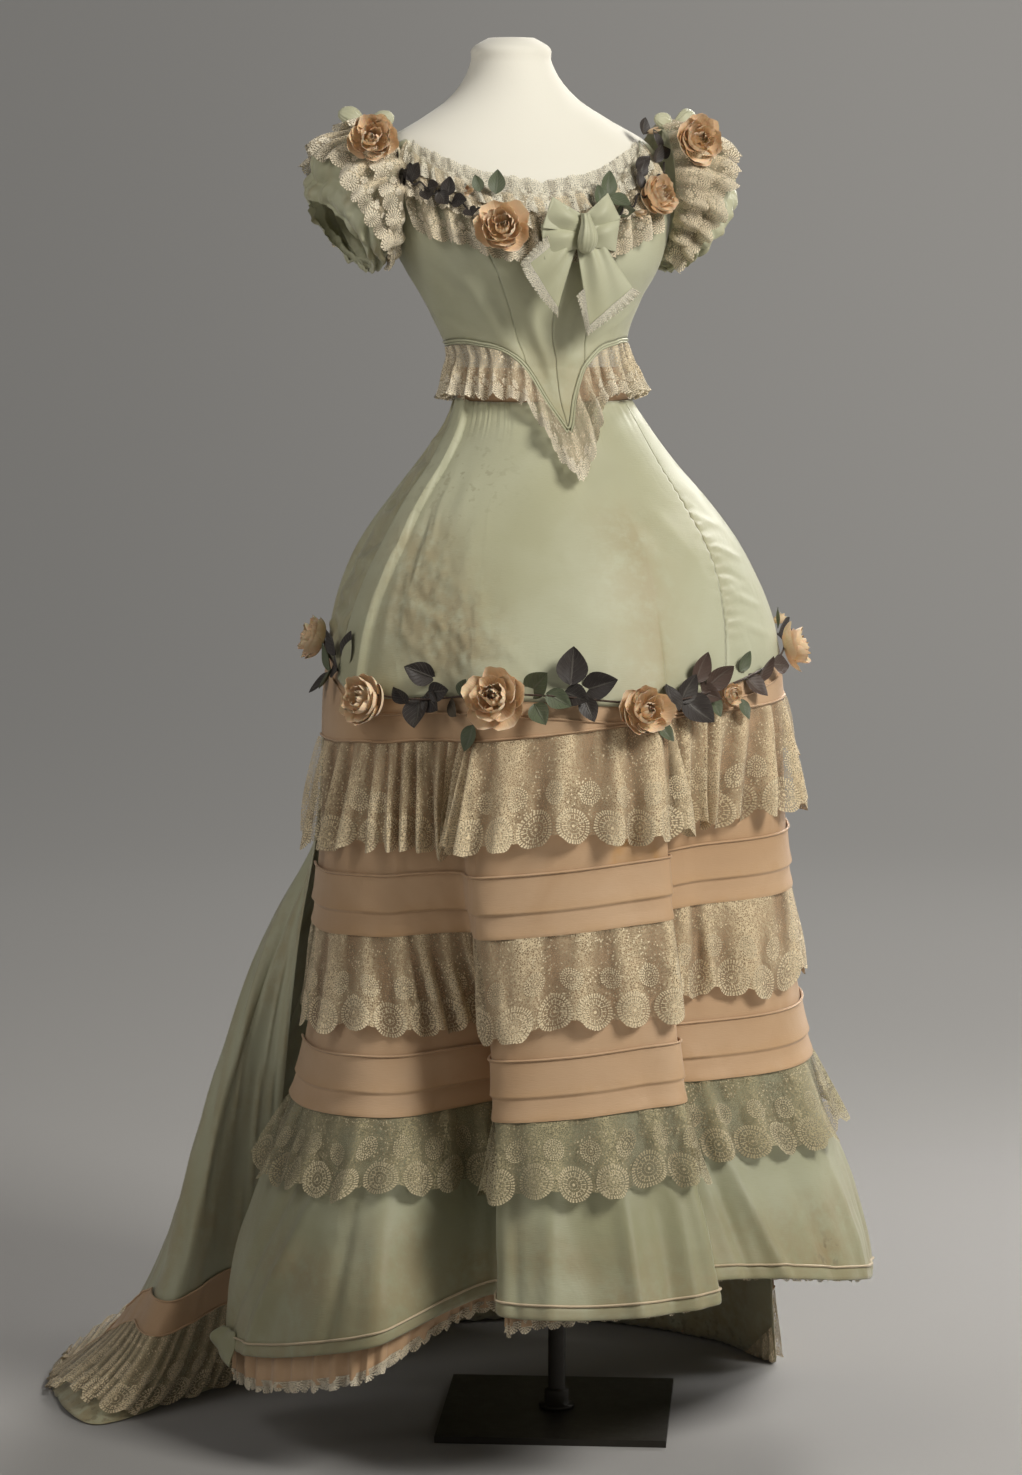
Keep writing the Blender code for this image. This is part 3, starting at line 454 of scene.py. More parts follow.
def folds_of(count: int, seed: int, low: float, high: float) -> tuple[Array, Array]:
    """Uneven folds along a length of 1: places, and heights that swing between crest and trough.

    Args:
        count: How many crests and troughs.
        seed: Sets which uneven ones they are.
        low: The least swing.
        high: The greatest swing.

    Returns:
        The places from 0 to 1 and the heights there.
    """
    rng = np.random.default_rng(seed)
    gaps = rng.uniform(0.55, 1.45, count - 1)
    places = np.concatenate([[0.0], np.cumsum(gaps) / gaps.sum()])
    heights = np.where(np.arange(count) % 2, -1.0, 1.0) * rng.uniform(low, high, count)
    return places, heights


def creases(grid: Grid, surface: Surface, rows: Rows) -> Array:
    """Soft ridges and troughs along short lines on a surface.

    At each height a line has a middle on the surface, mixed evenly from its first place to its
    second. The crease is its depth times a bell curve of the distance to that middle, square to the
    line, and it fades towards both ends.

    Args:
        grid: The points that are moved.
        surface: The function that places the lines.
        rows: Columns a0 h0 a1 h1 width depth, with h0 above h1.

    Returns:
        Millimetres outwards at each point.
    """
    away = np.zeros(grid.points.shape[:2])
    height = grid.points[..., 2]
    runs = np.linalg.norm(surface(rows["a1"], rows["h1"]) - surface(rows["a0"], rows["h0"]), axis=-1)
    for i, run in enumerate(runs):
        top, fall = rows["h0"][i], rows["h0"][i] - rows["h1"][i]
        share = np.clip((top - height) / fall, 0, 1)
        middle = surface(rows["a0"][i] + share * (rows["a1"][i] - rows["a0"][i]), height)
        reach = np.linalg.norm(grid.points - middle, axis=-1) * fall / run
        away += rows["depth"][i] * np.exp(-(reach / rows["width"][i]) ** 2) * np.sin(np.pi * share) ** 0.7
    return away


def value_noise(u: Array, v: Array, seed: int) -> Array:
    """Smooth uneven heights between -1 and 1: random corners of unit squares, mixed smoothly.

    Args:
        u: Places along the first axis, in units of one square.
        v: Places along the second axis.
        seed: Sets which heights they are.

    Returns:
        The heights, in the shape of u and v together.
    """
    rng = np.random.default_rng(seed)
    lattice = rng.uniform(-1, 1, (64, 64))
    i, j = np.floor(u).astype(int), np.floor(v).astype(int)
    s, t = u - i, v - j
    s, t = s * s * (3 - 2 * s), t * t * (3 - 2 * t)
    i, j = i % 64, j % 64
    k, m = (i + 1) % 64, (j + 1) % 64
    return ((lattice[i, j] * (1 - s) + lattice[k, j] * s) * (1 - t)
            + (lattice[i, m] * (1 - s) + lattice[k, m] * s) * t)


def spot(grid: Grid, centre: Array, radius: float) -> Array:
    """A soft round share about a point: a bell curve of the distance over the radius."""
    return np.exp(-(np.linalg.norm(grid.points - centre, axis=-1) / radius) ** 2)


class Nodes:
    """Short calls that wire one material.

    Args:
        name: The material's name.
    """

    def __init__(self, name: str) -> None:
        """Makes an empty material with its shader.

        Args:
            name: The material's name.
        """
        self.material = bpy.data.materials.new(name)
        self.material.use_nodes = True
        self.tree = self.material.node_tree
        self.shader = self.tree.nodes["Principled BSDF"]

    def node(self, kind: str, **settings: object) -> bpy.types.Node:
        """A new node with some of its settings.

        Args:
            kind: The node's type.
            settings: Its properties by name.

        Returns:
            The node.
        """
        made = self.tree.nodes.new(kind)
        for key, value in settings.items():
            setattr(made, key, value)
        return made

    def plug(self, value: object, socket: bpy.types.NodeSocket) -> None:
        """Links a socket, or sets a number or colour."""
        if isinstance(value, bpy.types.NodeSocket):
            self.tree.links.new(value, socket)
        elif value is not None:
            if isinstance(value, tuple) and len(value) == 3 and socket.type == "RGBA":
                value = (*value, 1.0)
            socket.default_value = value

    def set(self, name: str, value: object) -> None:
        """Links or sets one of the shader's own sockets."""
        self.plug(value, self.shader.inputs[name])

    def math(self, operation: str, *values: object, clamp: bool = False) -> bpy.types.NodeSocket:
        """One sum of numbers or sockets.

        Args:
            operation: The Math node's operation.
            clamp: Whether the result is kept from 0 to 1.
            values: Its inputs.

        Returns:
            The result.
        """
        made = self.node("ShaderNodeMath", operation=operation, use_clamp=clamp)
        for i, value in enumerate(values):
            self.plug(value, made.inputs[i])
        return made.outputs[0]

    def mix(self, share: object, low: object, high: object) -> bpy.types.NodeSocket:
        """Mixes two colours by a share.

        Args:
            share: How much of the second colour shows.
            low: The first colour.
            high: The second colour.

        Returns:
            The mixed colour.
        """
        made = self.node("ShaderNodeMix", data_type="RGBA")
        self.plug(share, made.inputs[0])
        self.plug(low, made.inputs[6])
        self.plug(high, made.inputs[7])
        return made.outputs[2]

    def mask(self, name: str) -> bpy.types.NodeSocket:
        """A named share carried by the mesh."""
        return self.node("ShaderNodeAttribute", attribute_name=name).outputs["Fac"]

    def cloth_map(self) -> bpy.types.NodeSocket:
        """The cloth's own map, in millimetres."""
        return self.node("ShaderNodeUVMap", uv_map=CLOTH_UV).outputs[0]

    def object_place(self) -> bpy.types.NodeSocket:
        """The place in the object's own space, in metres."""
        return self.node("ShaderNodeTexCoord").outputs["Object"]

    def scaled(self, vector: object, scale: Colour) -> bpy.types.NodeSocket:
        """A place stretched along its axes.

        Args:
            vector: The place.
            scale: The stretch along each axis.

        Returns:
            The stretched place.
        """
        made = self.node("ShaderNodeMapping")
        self.plug(vector, made.inputs["Vector"])
        made.inputs["Scale"].default_value = scale
        return made.outputs[0]

    def noise(self, vector: object, scale: float, detail: float = 3.0, kind: str = "FBM",
              rough: float = 0.5, warp: float = 0.0) -> bpy.types.NodeSocket:
        """Uneven heights from 0 to 1.

        Args:
            vector: The place that is read.
            scale: Waves for each unit of the place.
            detail: How many finer layers it has.
            kind: The noise type.
            rough: The weight of the finer layers.
            warp: How far it is distorted.

        Returns:
            The height.
        """
        made = self.node("ShaderNodeTexNoise", noise_type=kind)
        self.plug(vector, made.inputs["Vector"])
        made.inputs["Scale"].default_value = scale
        made.inputs["Detail"].default_value = detail
        made.inputs["Roughness"].default_value = rough
        made.inputs["Distortion"].default_value = warp
        return made.outputs[0]

    def between(self, value: object, low: float, high: float) -> bpy.types.NodeSocket:
        """A smooth rise from 0 at low to 1 at high.

        Args:
            value: What is read.
            low: Where the rise starts.
            high: Where it ends.

        Returns:
            The rise.
        """
        made = self.node("ShaderNodeMapRange", interpolation_type="SMOOTHSTEP")
        self.plug(value, made.inputs[0])
        made.inputs[1].default_value = low
        made.inputs[2].default_value = high
        return made.outputs[0]

    def bump(self, height: object, distance: float, strength: float = 1.0,
             under: object = None) -> bpy.types.NodeSocket:
        """Relief of so many metres, over another relief if there is one.

        Args:
            height: The relief's height from 0 to 1.
            distance: Metres from its lowest to its highest.
            strength: Its share.
            under: Another relief's direction, if any.

        Returns:
            The direction of the surface.
        """
        made = self.node("ShaderNodeBump")
        made.inputs["Strength"].default_value = strength
        made.inputs["Distance"].default_value = distance
        self.plug(height, made.inputs["Height"])
        self.plug(under, made.inputs["Normal"])
        return made.outputs[0]


@dataclass(frozen=True)
class Silk:
    """Plain woven silk with fine crosswise ribs, soft crumples, age, stains and painted shade.

    Args:
        name: The finish's name.
        colour: The clean cloth.
        shade: Its uneven darker tone.
        worn: The tone of its places marked by age, and of its painted shade.
        stain: The tone of its stains.
        roughness: How dull it is.
        crumple: Millimetres of its small soft creases.
    """

    name: str
    colour: Colour
    shade: Colour
    worn: Colour
    stain: Colour
    roughness: float = 0.5
    crumple: float = 0.9

    def material(self) -> bpy.types.Material:
        """The finish as a material that reads the cloth's map and its masks.

        Returns:
            The material.
        """
        n = Nodes(self.name)
        cloth, place = n.cloth_map(), n.object_place()
        clouds = n.noise(place, 5.0, 4.0, warp=0.6)
        tone = n.mix(n.between(clouds, 0.35, 0.7), self.colour, self.shade)
        slub = n.noise(n.scaled(cloth, (0.06, 1.1, 1.0)), 1.0, 2.0)
        tone = n.mix(n.math("MULTIPLY", n.between(slub, 0.45, 0.75), 0.22), tone, self.shade)
        mottle = n.noise(place, 42.0, 5.0, rough=0.65)
        worn = n.math("MULTIPLY", n.mask("worn"), n.between(mottle, 0.25, 0.62))
        tone = n.mix(worn, tone, self.worn)
        specks = n.math("MULTIPLY", n.mask("stain"), n.between(n.noise(place, 95.0, 3.0), 0.56, 0.66))
        tone = n.mix(specks, tone, self.stain)
        n.set("Base Color", tone)
        n.set("Roughness", self.roughness)
        n.set("Sheen Weight", 0.25)
        n.set("Sheen Roughness", 0.4)
        n.set("Specular IOR Level", 0.35)
        ribs = n.noise(n.scaled(cloth, (0.1, 1.4, 1.0)), 1.0, 2.0)
        relief = n.bump(ribs, 0.00022)
        soft = n.noise(n.scaled(place, (1.0, 1.0, 0.6)), 17.0, 3.0, rough=0.45, warp=0.8)
        relief = n.bump(soft, self.crumple * 2.4 * MM, 0.5, relief)
        pucker = n.noise(place, 46.0, 3.0, kind="RIDGED_MULTIFRACTAL", rough=0.5, warp=0.5)
        pucker = n.math("MULTIPLY", pucker, n.math("ADD", n.mask("pucker"), 0.05))
        n.set("Normal", n.bump(pucker, self.crumple * 2.2 * MM, 0.7, relief))
        return n.material


@dataclass(frozen=True)
class Lace:
    """Machine lace: an open net ground with round medallions and a scalloped, picoted edge.

    The pattern reads millimetres along the lace and up from its edge, bent by soft noise so that
    no two scallops are alike. A medallion is three dotted rings, thin bars and a round middle.

    Args:
        name: The finish's name.
        thread: The colour of the worked motifs.
        ground: The colour of the net.
        pitch: Millimetres from one scallop to the next.
        edge_radius: The edge medallions' radius.
        upper_radius: The radius of the row above.
        cover: How much of the net is thread, from 0 to 1.
        wander: Millimetres that the noise moves the pattern.
    """

    name: str
    thread: Colour
    ground: Colour
    pitch: float = 45.0
    edge_radius: float = 16.5
    upper_radius: float = 11.5
    cover: float = 0.4
    wander: float = 9.0

    def stitches(self, n: Nodes, far: object, turn: object, radius: float, half: float,
                 gap: float) -> bpy.types.NodeSocket:
        """A ring of stitches: 1 within half a thread of the radius, broken at even gaps.

        Args:
            n: The material's nodes.
            far: Distance from the medallion's middle.
            turn: Turn round that middle.
            radius: The ring's radius.
            half: Half a thread's width.
            gap: Millimetres along the ring from one gap to the next.

        Returns:
            The thread's share, 0 or 1.
        """
        off = n.math("ABSOLUTE", n.math("SUBTRACT", far, radius))
        solid = n.math("SUBTRACT", 1.0, n.between(off, half * 0.6, half * 1.3))
        count = float(round(2 * math.pi * radius / gap))
        return n.math("MULTIPLY", solid,
                      n.between(n.math("COSINE", n.math("MULTIPLY", turn, count)), -0.8, 0.1))

    def medallion(self, n: Nodes, u: object, e: object, shift: float, centre: float,
                  radius: float) -> tuple[bpy.types.NodeSocket, bpy.types.NodeSocket, bpy.types.NodeSocket]:
        """One row of medallions.

        Args:
            n: The material being wired.
            u: Millimetres along the lace.
            e: Millimetres up from the edge.
            shift: Millimetres that the row is moved along.
            centre: How far up the middles are.
            radius: The outer ring's radius.

        Returns:
            The threads' share, the distance to the nearest middle, and the direction from it.
        """
        cell = n.math("FRACT", n.math("DIVIDE", n.math("ADD", u, shift), self.pitch))
        dx = n.math("MULTIPLY", n.math("SUBTRACT", cell, 0.5), self.pitch)
        dy = n.math("SUBTRACT", e, centre)
        far = n.math("SQRT", n.math("ADD", n.math("MULTIPLY", dx, dx), n.math("MULTIPLY", dy, dy)))
        turn = n.math("ARCTAN2", dy, dx)
        rings = n.math("MAXIMUM", self.stitches(n, far, turn, radius, 1.1, 2.8),
                       self.stitches(n, far, turn, 0.8 * radius, 0.8, 2.6))
        inner = n.math("MAXIMUM", self.stitches(n, far, turn, 0.54 * radius, 0.8, 2.3),
                       self.stitches(n, far, turn, 0.3 * radius, 0.7, 2.0))
        rings = n.math("MAXIMUM", rings, inner)
        between = n.math("LESS_THAN", n.math("ABSOLUTE", n.math("SUBTRACT", far, 0.66 * radius)),
                         0.12 * radius)
        bars = n.math("MULTIPLY", between,
                      n.between(n.math("COSINE", n.math("MULTIPLY", turn, 14.0)), 0.5, 0.9))
        middle = n.math("LESS_THAN", far, 0.1 * radius)
        return n.math("MAXIMUM", rings, n.math("MAXIMUM", bars, middle)), far, turn

    def material(self) -> bpy.types.Material:
        """The finish as a material whose holes follow the lace's own map.

        Returns:
            The material.
        """
        n = Nodes(self.name)
        cloth, place = n.cloth_map(), n.object_place()
        split = n.node("ShaderNodeSeparateXYZ")
        n.plug(cloth, split.inputs[0])
        drift = n.math("MULTIPLY", n.math("SUBTRACT", n.noise(place, 15.0, 1.0), 0.5), self.wander)
        shake = n.math("MULTIPLY", n.math("SUBTRACT", n.noise(place, 130.0, 1.0), 0.5), 1.6)
        drift = n.math("ADD", drift, shake)
        u = n.math("ADD", split.outputs[0], n.math("MULTIPLY", drift, 1.5))
        e = n.math("ADD", split.outputs[1], drift)
        centre = self.edge_radius + 3.0
        work, far, turn = self.medallion(n, u, e, 0.0, centre, self.edge_radius)
        work = n.math("MAXIMUM", work, self.stitches(n, far, turn, self.edge_radius + 2.4, 1.4, 3.2))
        high = centre + self.edge_radius + self.upper_radius + 0.18 * self.pitch
        row, near, _ = self.medallion(n, u, e, self.pitch / 2, high, self.upper_radius)
        work = n.math("MAXIMUM", work, row)
        holes = n.node("ShaderNodeTexVoronoi", feature="DISTANCE_TO_EDGE")
        n.plug(cloth, holes.inputs["Vector"])
        holes.inputs["Scale"].default_value = 0.42
        net = n.math("SUBTRACT", 1.0, n.between(holes.outputs[0], 0.1 * self.cover, 0.42 * self.cover))
        net = n.math("ADD", n.math("MULTIPLY", net, 0.75), 0.3 * self.cover)
        patchy = n.between(n.noise(place, 34.0, 3.0, rough=0.6), 0.3, 0.7)
        crest = n.mask("crest")
        close = n.math("ADD", n.math("MULTIPLY", patchy, 0.4), n.math("MULTIPLY", crest, 0.7))
        net = n.math("MULTIPLY", net, n.math("ADD", close, 0.3))
        inside = n.math("MAXIMUM", n.math("LESS_THAN", far, self.edge_radius),
                        n.math("LESS_THAN", near, self.upper_radius))
        knots = n.node("ShaderNodeTexVoronoi", feature="F1")
        n.plug(cloth, knots.inputs["Vector"])
        knots.inputs["Scale"].default_value = 0.27
        knot = n.math("MULTIPLY", n.math("LESS_THAN", knots.outputs[0], 0.27), n.between(patchy, 0.1, 0.6))
        work = n.math("MAXIMUM", work, knot)
        alpha = n.math("MAXIMUM", n.math("MAXIMUM", net, work),
                       n.math("MULTIPLY", inside, 0.4 * self.cover + 0.2))
        beyond = n.math("MULTIPLY", n.math("LESS_THAN", e, 0.5 * centre),
                        n.math("GREATER_THAN", far, self.edge_radius + 3.6))
        n.set("Alpha", n.math("MULTIPLY", alpha, n.math("SUBTRACT", 1.0, beyond), clamp=True))
        thread = n.mix(n.between(n.noise(place, 9.0, 3.0), 0.3, 0.75), self.thread, self.ground)
        # Painted shade: the ground darkens towards near black brown in the folds' troughs, and the threads
        # are paler on the crests.
        deep = n.mix(n.between(crest, 0.0, 0.9), n.mix(0.7, self.ground, (0.12, 0.08, 0.04)), self.ground)
        n.set("Base Color", n.mix(work, deep, n.mix(n.between(crest, -0.6, 0.7), deep, thread)))
        n.set("Roughness", 0.9)
        n.set("Specular IOR Level", 0.2)
        n.set("Sheen Weight", 0.2)
        n.set("Normal", n.bump(n.math("ADD", work, n.math("MULTIPLY", net, 0.4)), 0.0009))
        n.material.use_transparent_shadow = True
        return n.material


@dataclass(frozen=True)
class Petal:
    """Thin cloth of roses, pale and crumpled at the lips, with painted shade that darkens them in the
    heart.

    Args:
        name: The finish's name.
        heart: The painted shade deep in the rose.
        lip: The tone of the petals' rims.
        worn: The tone of its places marked by age.
    """

    name: str = "rose_cloth"
    heart: Colour = (0.7, 0.47, 0.25)
    lip: Colour = (0.88, 0.69, 0.47)
    worn: Colour = (0.8, 0.59, 0.36)

    def material(self) -> bpy.types.Material:
        """The finish as a material that reads the petals' lip mask.

        Returns:
            The material.
        """
        n = Nodes(self.name)
        place = n.object_place()
        # Painted shade: each petal darkens from its lip towards its foot, deep in the rose.
        tone = n.mix(n.math("POWER", n.mask("lip"), 0.8), self.heart, self.lip)
        tone = n.mix(n.between(n.noise(place, 38.0, 3.0), 0.45, 0.7), tone, self.worn)
        n.set("Base Color", tone)
        n.set("Roughness", 0.8)
        n.set("Specular IOR Level", 0.2)
        n.set("Sheen Weight", 0.3)
        n.set("Subsurface Weight", 0.12)
        n.set("Subsurface Scale", 0.004)
        crease = n.noise(n.scaled(n.cloth_map(), (5.0, 0.7, 1.0)), 1.4, 3.0)
        n.set("Normal", n.bump(crease, 0.0016, 0.6))
        return n.material


@dataclass(frozen=True)
class Leaf:
    """Velvet and satin leaves: purple black or grey green, with a midrib and side veins.

    Args:
        name: The finish's name.
        dark: The purple black leaves.
        brown: The brown leaves.
        green: The grey green leaves.
    """

    name: str = "leaf_cloth"
    dark: Colour = (0.034, 0.026, 0.022)
    brown: Colour = (0.085, 0.05, 0.036)
    green: Colour = (0.1, 0.12, 0.065)

    def material(self) -> bpy.types.Material:
        """The finish as a material that reads the leaves' kind and their map.

        Returns:
            The material.
        """
        n = Nodes(self.name)
        kind = n.mask("kind")
        tone = n.mix(n.between(kind, 0.2, 0.5), self.dark, self.brown)
        tone = n.mix(n.between(kind, 0.6, 0.9), tone, self.green)
        split = n.node("ShaderNodeSeparateXYZ")
        n.plug(n.cloth_map(), split.inputs[0])
        rib = n.math("SUBTRACT", 1.0, n.between(n.math("ABSOLUTE", split.outputs[0]), 0.02, 0.1))
        slant = n.math("SUBTRACT", n.math("MULTIPLY", split.outputs[1], 7.0),
                       n.math("MULTIPLY", n.math("ABSOLUTE", split.outputs[0]), 2.6))
        vein = n.between(n.math("ABSOLUTE", n.math("SUBTRACT", n.math("FRACT", slant), 0.5)), 0.42, 0.5)
        pale = n.math("MULTIPLY", n.math("MAXIMUM", rib, vein), 0.3)
        dust = n.between(n.noise(n.object_place(), 60.0, 3.0), 0.45, 0.8)
        n.set("Base Color", n.mix(n.math("ADD", pale, n.math("MULTIPLY", dust, 0.16)), tone,
                                  (0.19, 0.175, 0.14)))
        n.set("Roughness", 0.55)
        n.set("Sheen Weight", 0.06)
        n.set("Sheen Roughness", 0.35)
        n.set("Normal", n.bump(n.math("MAXIMUM", rib, vein), 0.0006, 0.8))
        return n.material


@dataclass(frozen=True)
class Jersey:
    """Fine cream knit drawn smoothly over the form.

    Args:
        name: The finish's name.
        colour: The knit's tone.
    """

    name: str = "form_jersey"
    colour: Colour = (0.8, 0.77, 0.68)

    def material(self) -> bpy.types.Material:
        """The finish as a material with a fine knit.

        Returns:
            The material.
        """
        n = Nodes(self.name)
        place = n.object_place()
        n.set("Base Color", n.mix(n.noise(place, 6.0, 3.0), self.colour, (0.76, 0.725, 0.62)))
        n.set("Roughness", 0.85)
        n.set("Sheen Weight", 0.2)
        knit = n.noise(n.scaled(place, (1.0, 1.0, 0.5)), 900.0, 1.0)
        n.set("Normal", n.bump(knit, 0.0002, 0.4))
        return n.material


@dataclass(frozen=True)
class Steel:
    """Black satin paint on steel, a little scuffed.

    Args:
        name: The finish's name.
        colour: The paint's tone.
    """

    name: str = "black_steel"
    colour: Colour = (0.028, 0.024, 0.018)

    def material(self) -> bpy.types.Material:
        """The finish as a material with fine scuffs.

        Returns:
            The material.
        """
        n = Nodes(self.name)
        place = n.object_place()
        scuffs = n.noise(place, 70.0, 5.0, rough=0.7)
        n.set("Base Color", n.mix(n.math("MULTIPLY", n.between(scuffs, 0.5, 0.8), 0.25), self.colour,
                                  (0.07, 0.06, 0.055)))
        n.set("Roughness", n.math("ADD", n.math("MULTIPLY", scuffs, 0.25), 0.32))
        n.set("Metallic", 0.4)
        n.set("Normal", n.bump(scuffs, 0.0003, 0.3))
        return n.material


SAGE = Silk("green_silk", (0.475, 0.475, 0.335), (0.4, 0.39, 0.25), (0.37, 0.31, 0.18), (0.2, 0.17, 0.1),
            0.5, 1.2)
PEACH = Silk("peach_silk", (0.57, 0.385, 0.235), (0.48, 0.305, 0.17), (0.48, 0.27, 0.1), (0.3, 0.16, 0.07),
             0.6, 0.9)
PIPING = Silk("pale_piping", (0.62, 0.5, 0.34), (0.5, 0.4, 0.26), (0.5, 0.35, 0.2), (0.3, 0.2, 0.1), 0.6,
              0.4)
# The hem's silk is the green silk made darker and a little yellower: partly painted shade of the low skirt
# under the flounces, partly soiling.
SHADED_HEM = Silk("hem_silk_shaded", (0.37, 0.37, 0.25), (0.3, 0.29, 0.17), (0.3, 0.24, 0.13), (0.18, 0.14, 0.08), 0.5,
           1.4)
FLOUNCE = Lace("cream_lace", (0.92, 0.78, 0.53), (0.72, 0.58, 0.37), cover=0.56)
# The lowest flounce's lace is a darker copy of the cream lace, which paints the shade low on the skirt.
SHADED_LACE = Lace("cream_lace_shaded", (0.64, 0.54, 0.35), (0.42, 0.36, 0.21), cover=0.46)
NARROW = Lace("cream_lace_narrow", (0.95, 0.86, 0.68), (0.7, 0.59, 0.41), 18.0, 6.5, 4.0, 0.6, 7.0)
NECK = Lace("cream_lace_neck", (0.9, 0.85, 0.7), (0.82, 0.75, 0.58), 14.0, 5.0, 3.0, 0.5, 4.0)


@dataclass
class Stand:
    """The padded form, the pole with its collar, and the base plate.

    Args:
        pole_radius: The pole's radius in millimetres.
        plate_top: Height of the base plate's top.
        form_foot: Height of the form's foot.
        columns: Points round the form and the pole.
        drawn_in: How small the form's closed ends are, as a share of their ring.
    """

    pole_radius: float = 10.0
    plate_top: float = 8.0
    form_foot: float = 1012.0
    columns: int = 96
    drawn_in: float = 0.004

    def lathe(self, profile: Rows, x: float = 0.0, y: float = 0.0) -> Grid:
        """A turned shape: a profile of radius and height carried round an upright axis.

        Args:
            profile: Columns radius and height, from the top down.
            x: The axis's place across.
            y: The axis's place in depth.

        Returns:
            A closed ring of columns.
        """
        turn = np.radians(np.arange(self.columns) * 360 / self.columns)[:, None]
        radius, height = profile["radius"][None], profile["height"][None]
        points = np.stack(np.broadcast_arrays(x + radius * np.sin(turn), y - radius * np.cos(turn), height),
                          -1)
        return Grid(points, ring=True)

    def form(self) -> Grid:
        """The form: its sections by height, with the top and the foot drawn in to a point.

        Returns:
            A closed ring of columns.
        """
        low, high = FORM["height"].min(), FORM["height"].max()
        height = np.concatenate([[high + 0.2], high - (high - low) * np.linspace(0, 1, 80) ** 1.3,
                                 [low - 0.2]])
        angle = (np.arange(self.columns) * 360 / self.columns)[:, None]
        points = ring_point(FORM, angle + BodiceSizes.turn, np.clip(height, low, high)[None])
        points[..., 2] = height[None]
        for end in (0, -1):
            middle = points[:, end, :2].mean(axis=0)
            points[:, end, :2] = middle + (points[:, end, :2] - middle) * self.drawn_in
        return Grid(points, ring=True)

    def build(self) -> None:
        """Makes the form and the pole, and paints the base plate."""
        steel = Steel().material()
        make_object("form", [self.form()], Jersey().material(), replaces=["dress_form"])
        reach = self.pole_radius
        profile = table("radius height", (0.05, self.form_foot - 0.5), (reach, self.form_foot - 0.5),
                        (reach, self.form_foot - 4), (reach, 120), (reach, self.plate_top + 24),
                        (reach + 0.6, self.plate_top + 23), (reach + 3.5, self.plate_top + 22.2),
                        (reach + 4.2, self.plate_top + 21), (reach + 4.2, self.plate_top + 5),
                        (reach + 9, self.plate_top + 4.6), (reach + 10, self.plate_top + 3.6),
                        (reach + 10, self.plate_top + 0.4), (0.05, self.plate_top + 0.4))
        make_object("stand_pole", [self.lathe(profile)], steel, replaces=["pole"])
        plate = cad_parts["base_plate"]
        plate.data.materials.clear()
        plate.data.materials.append(steel)


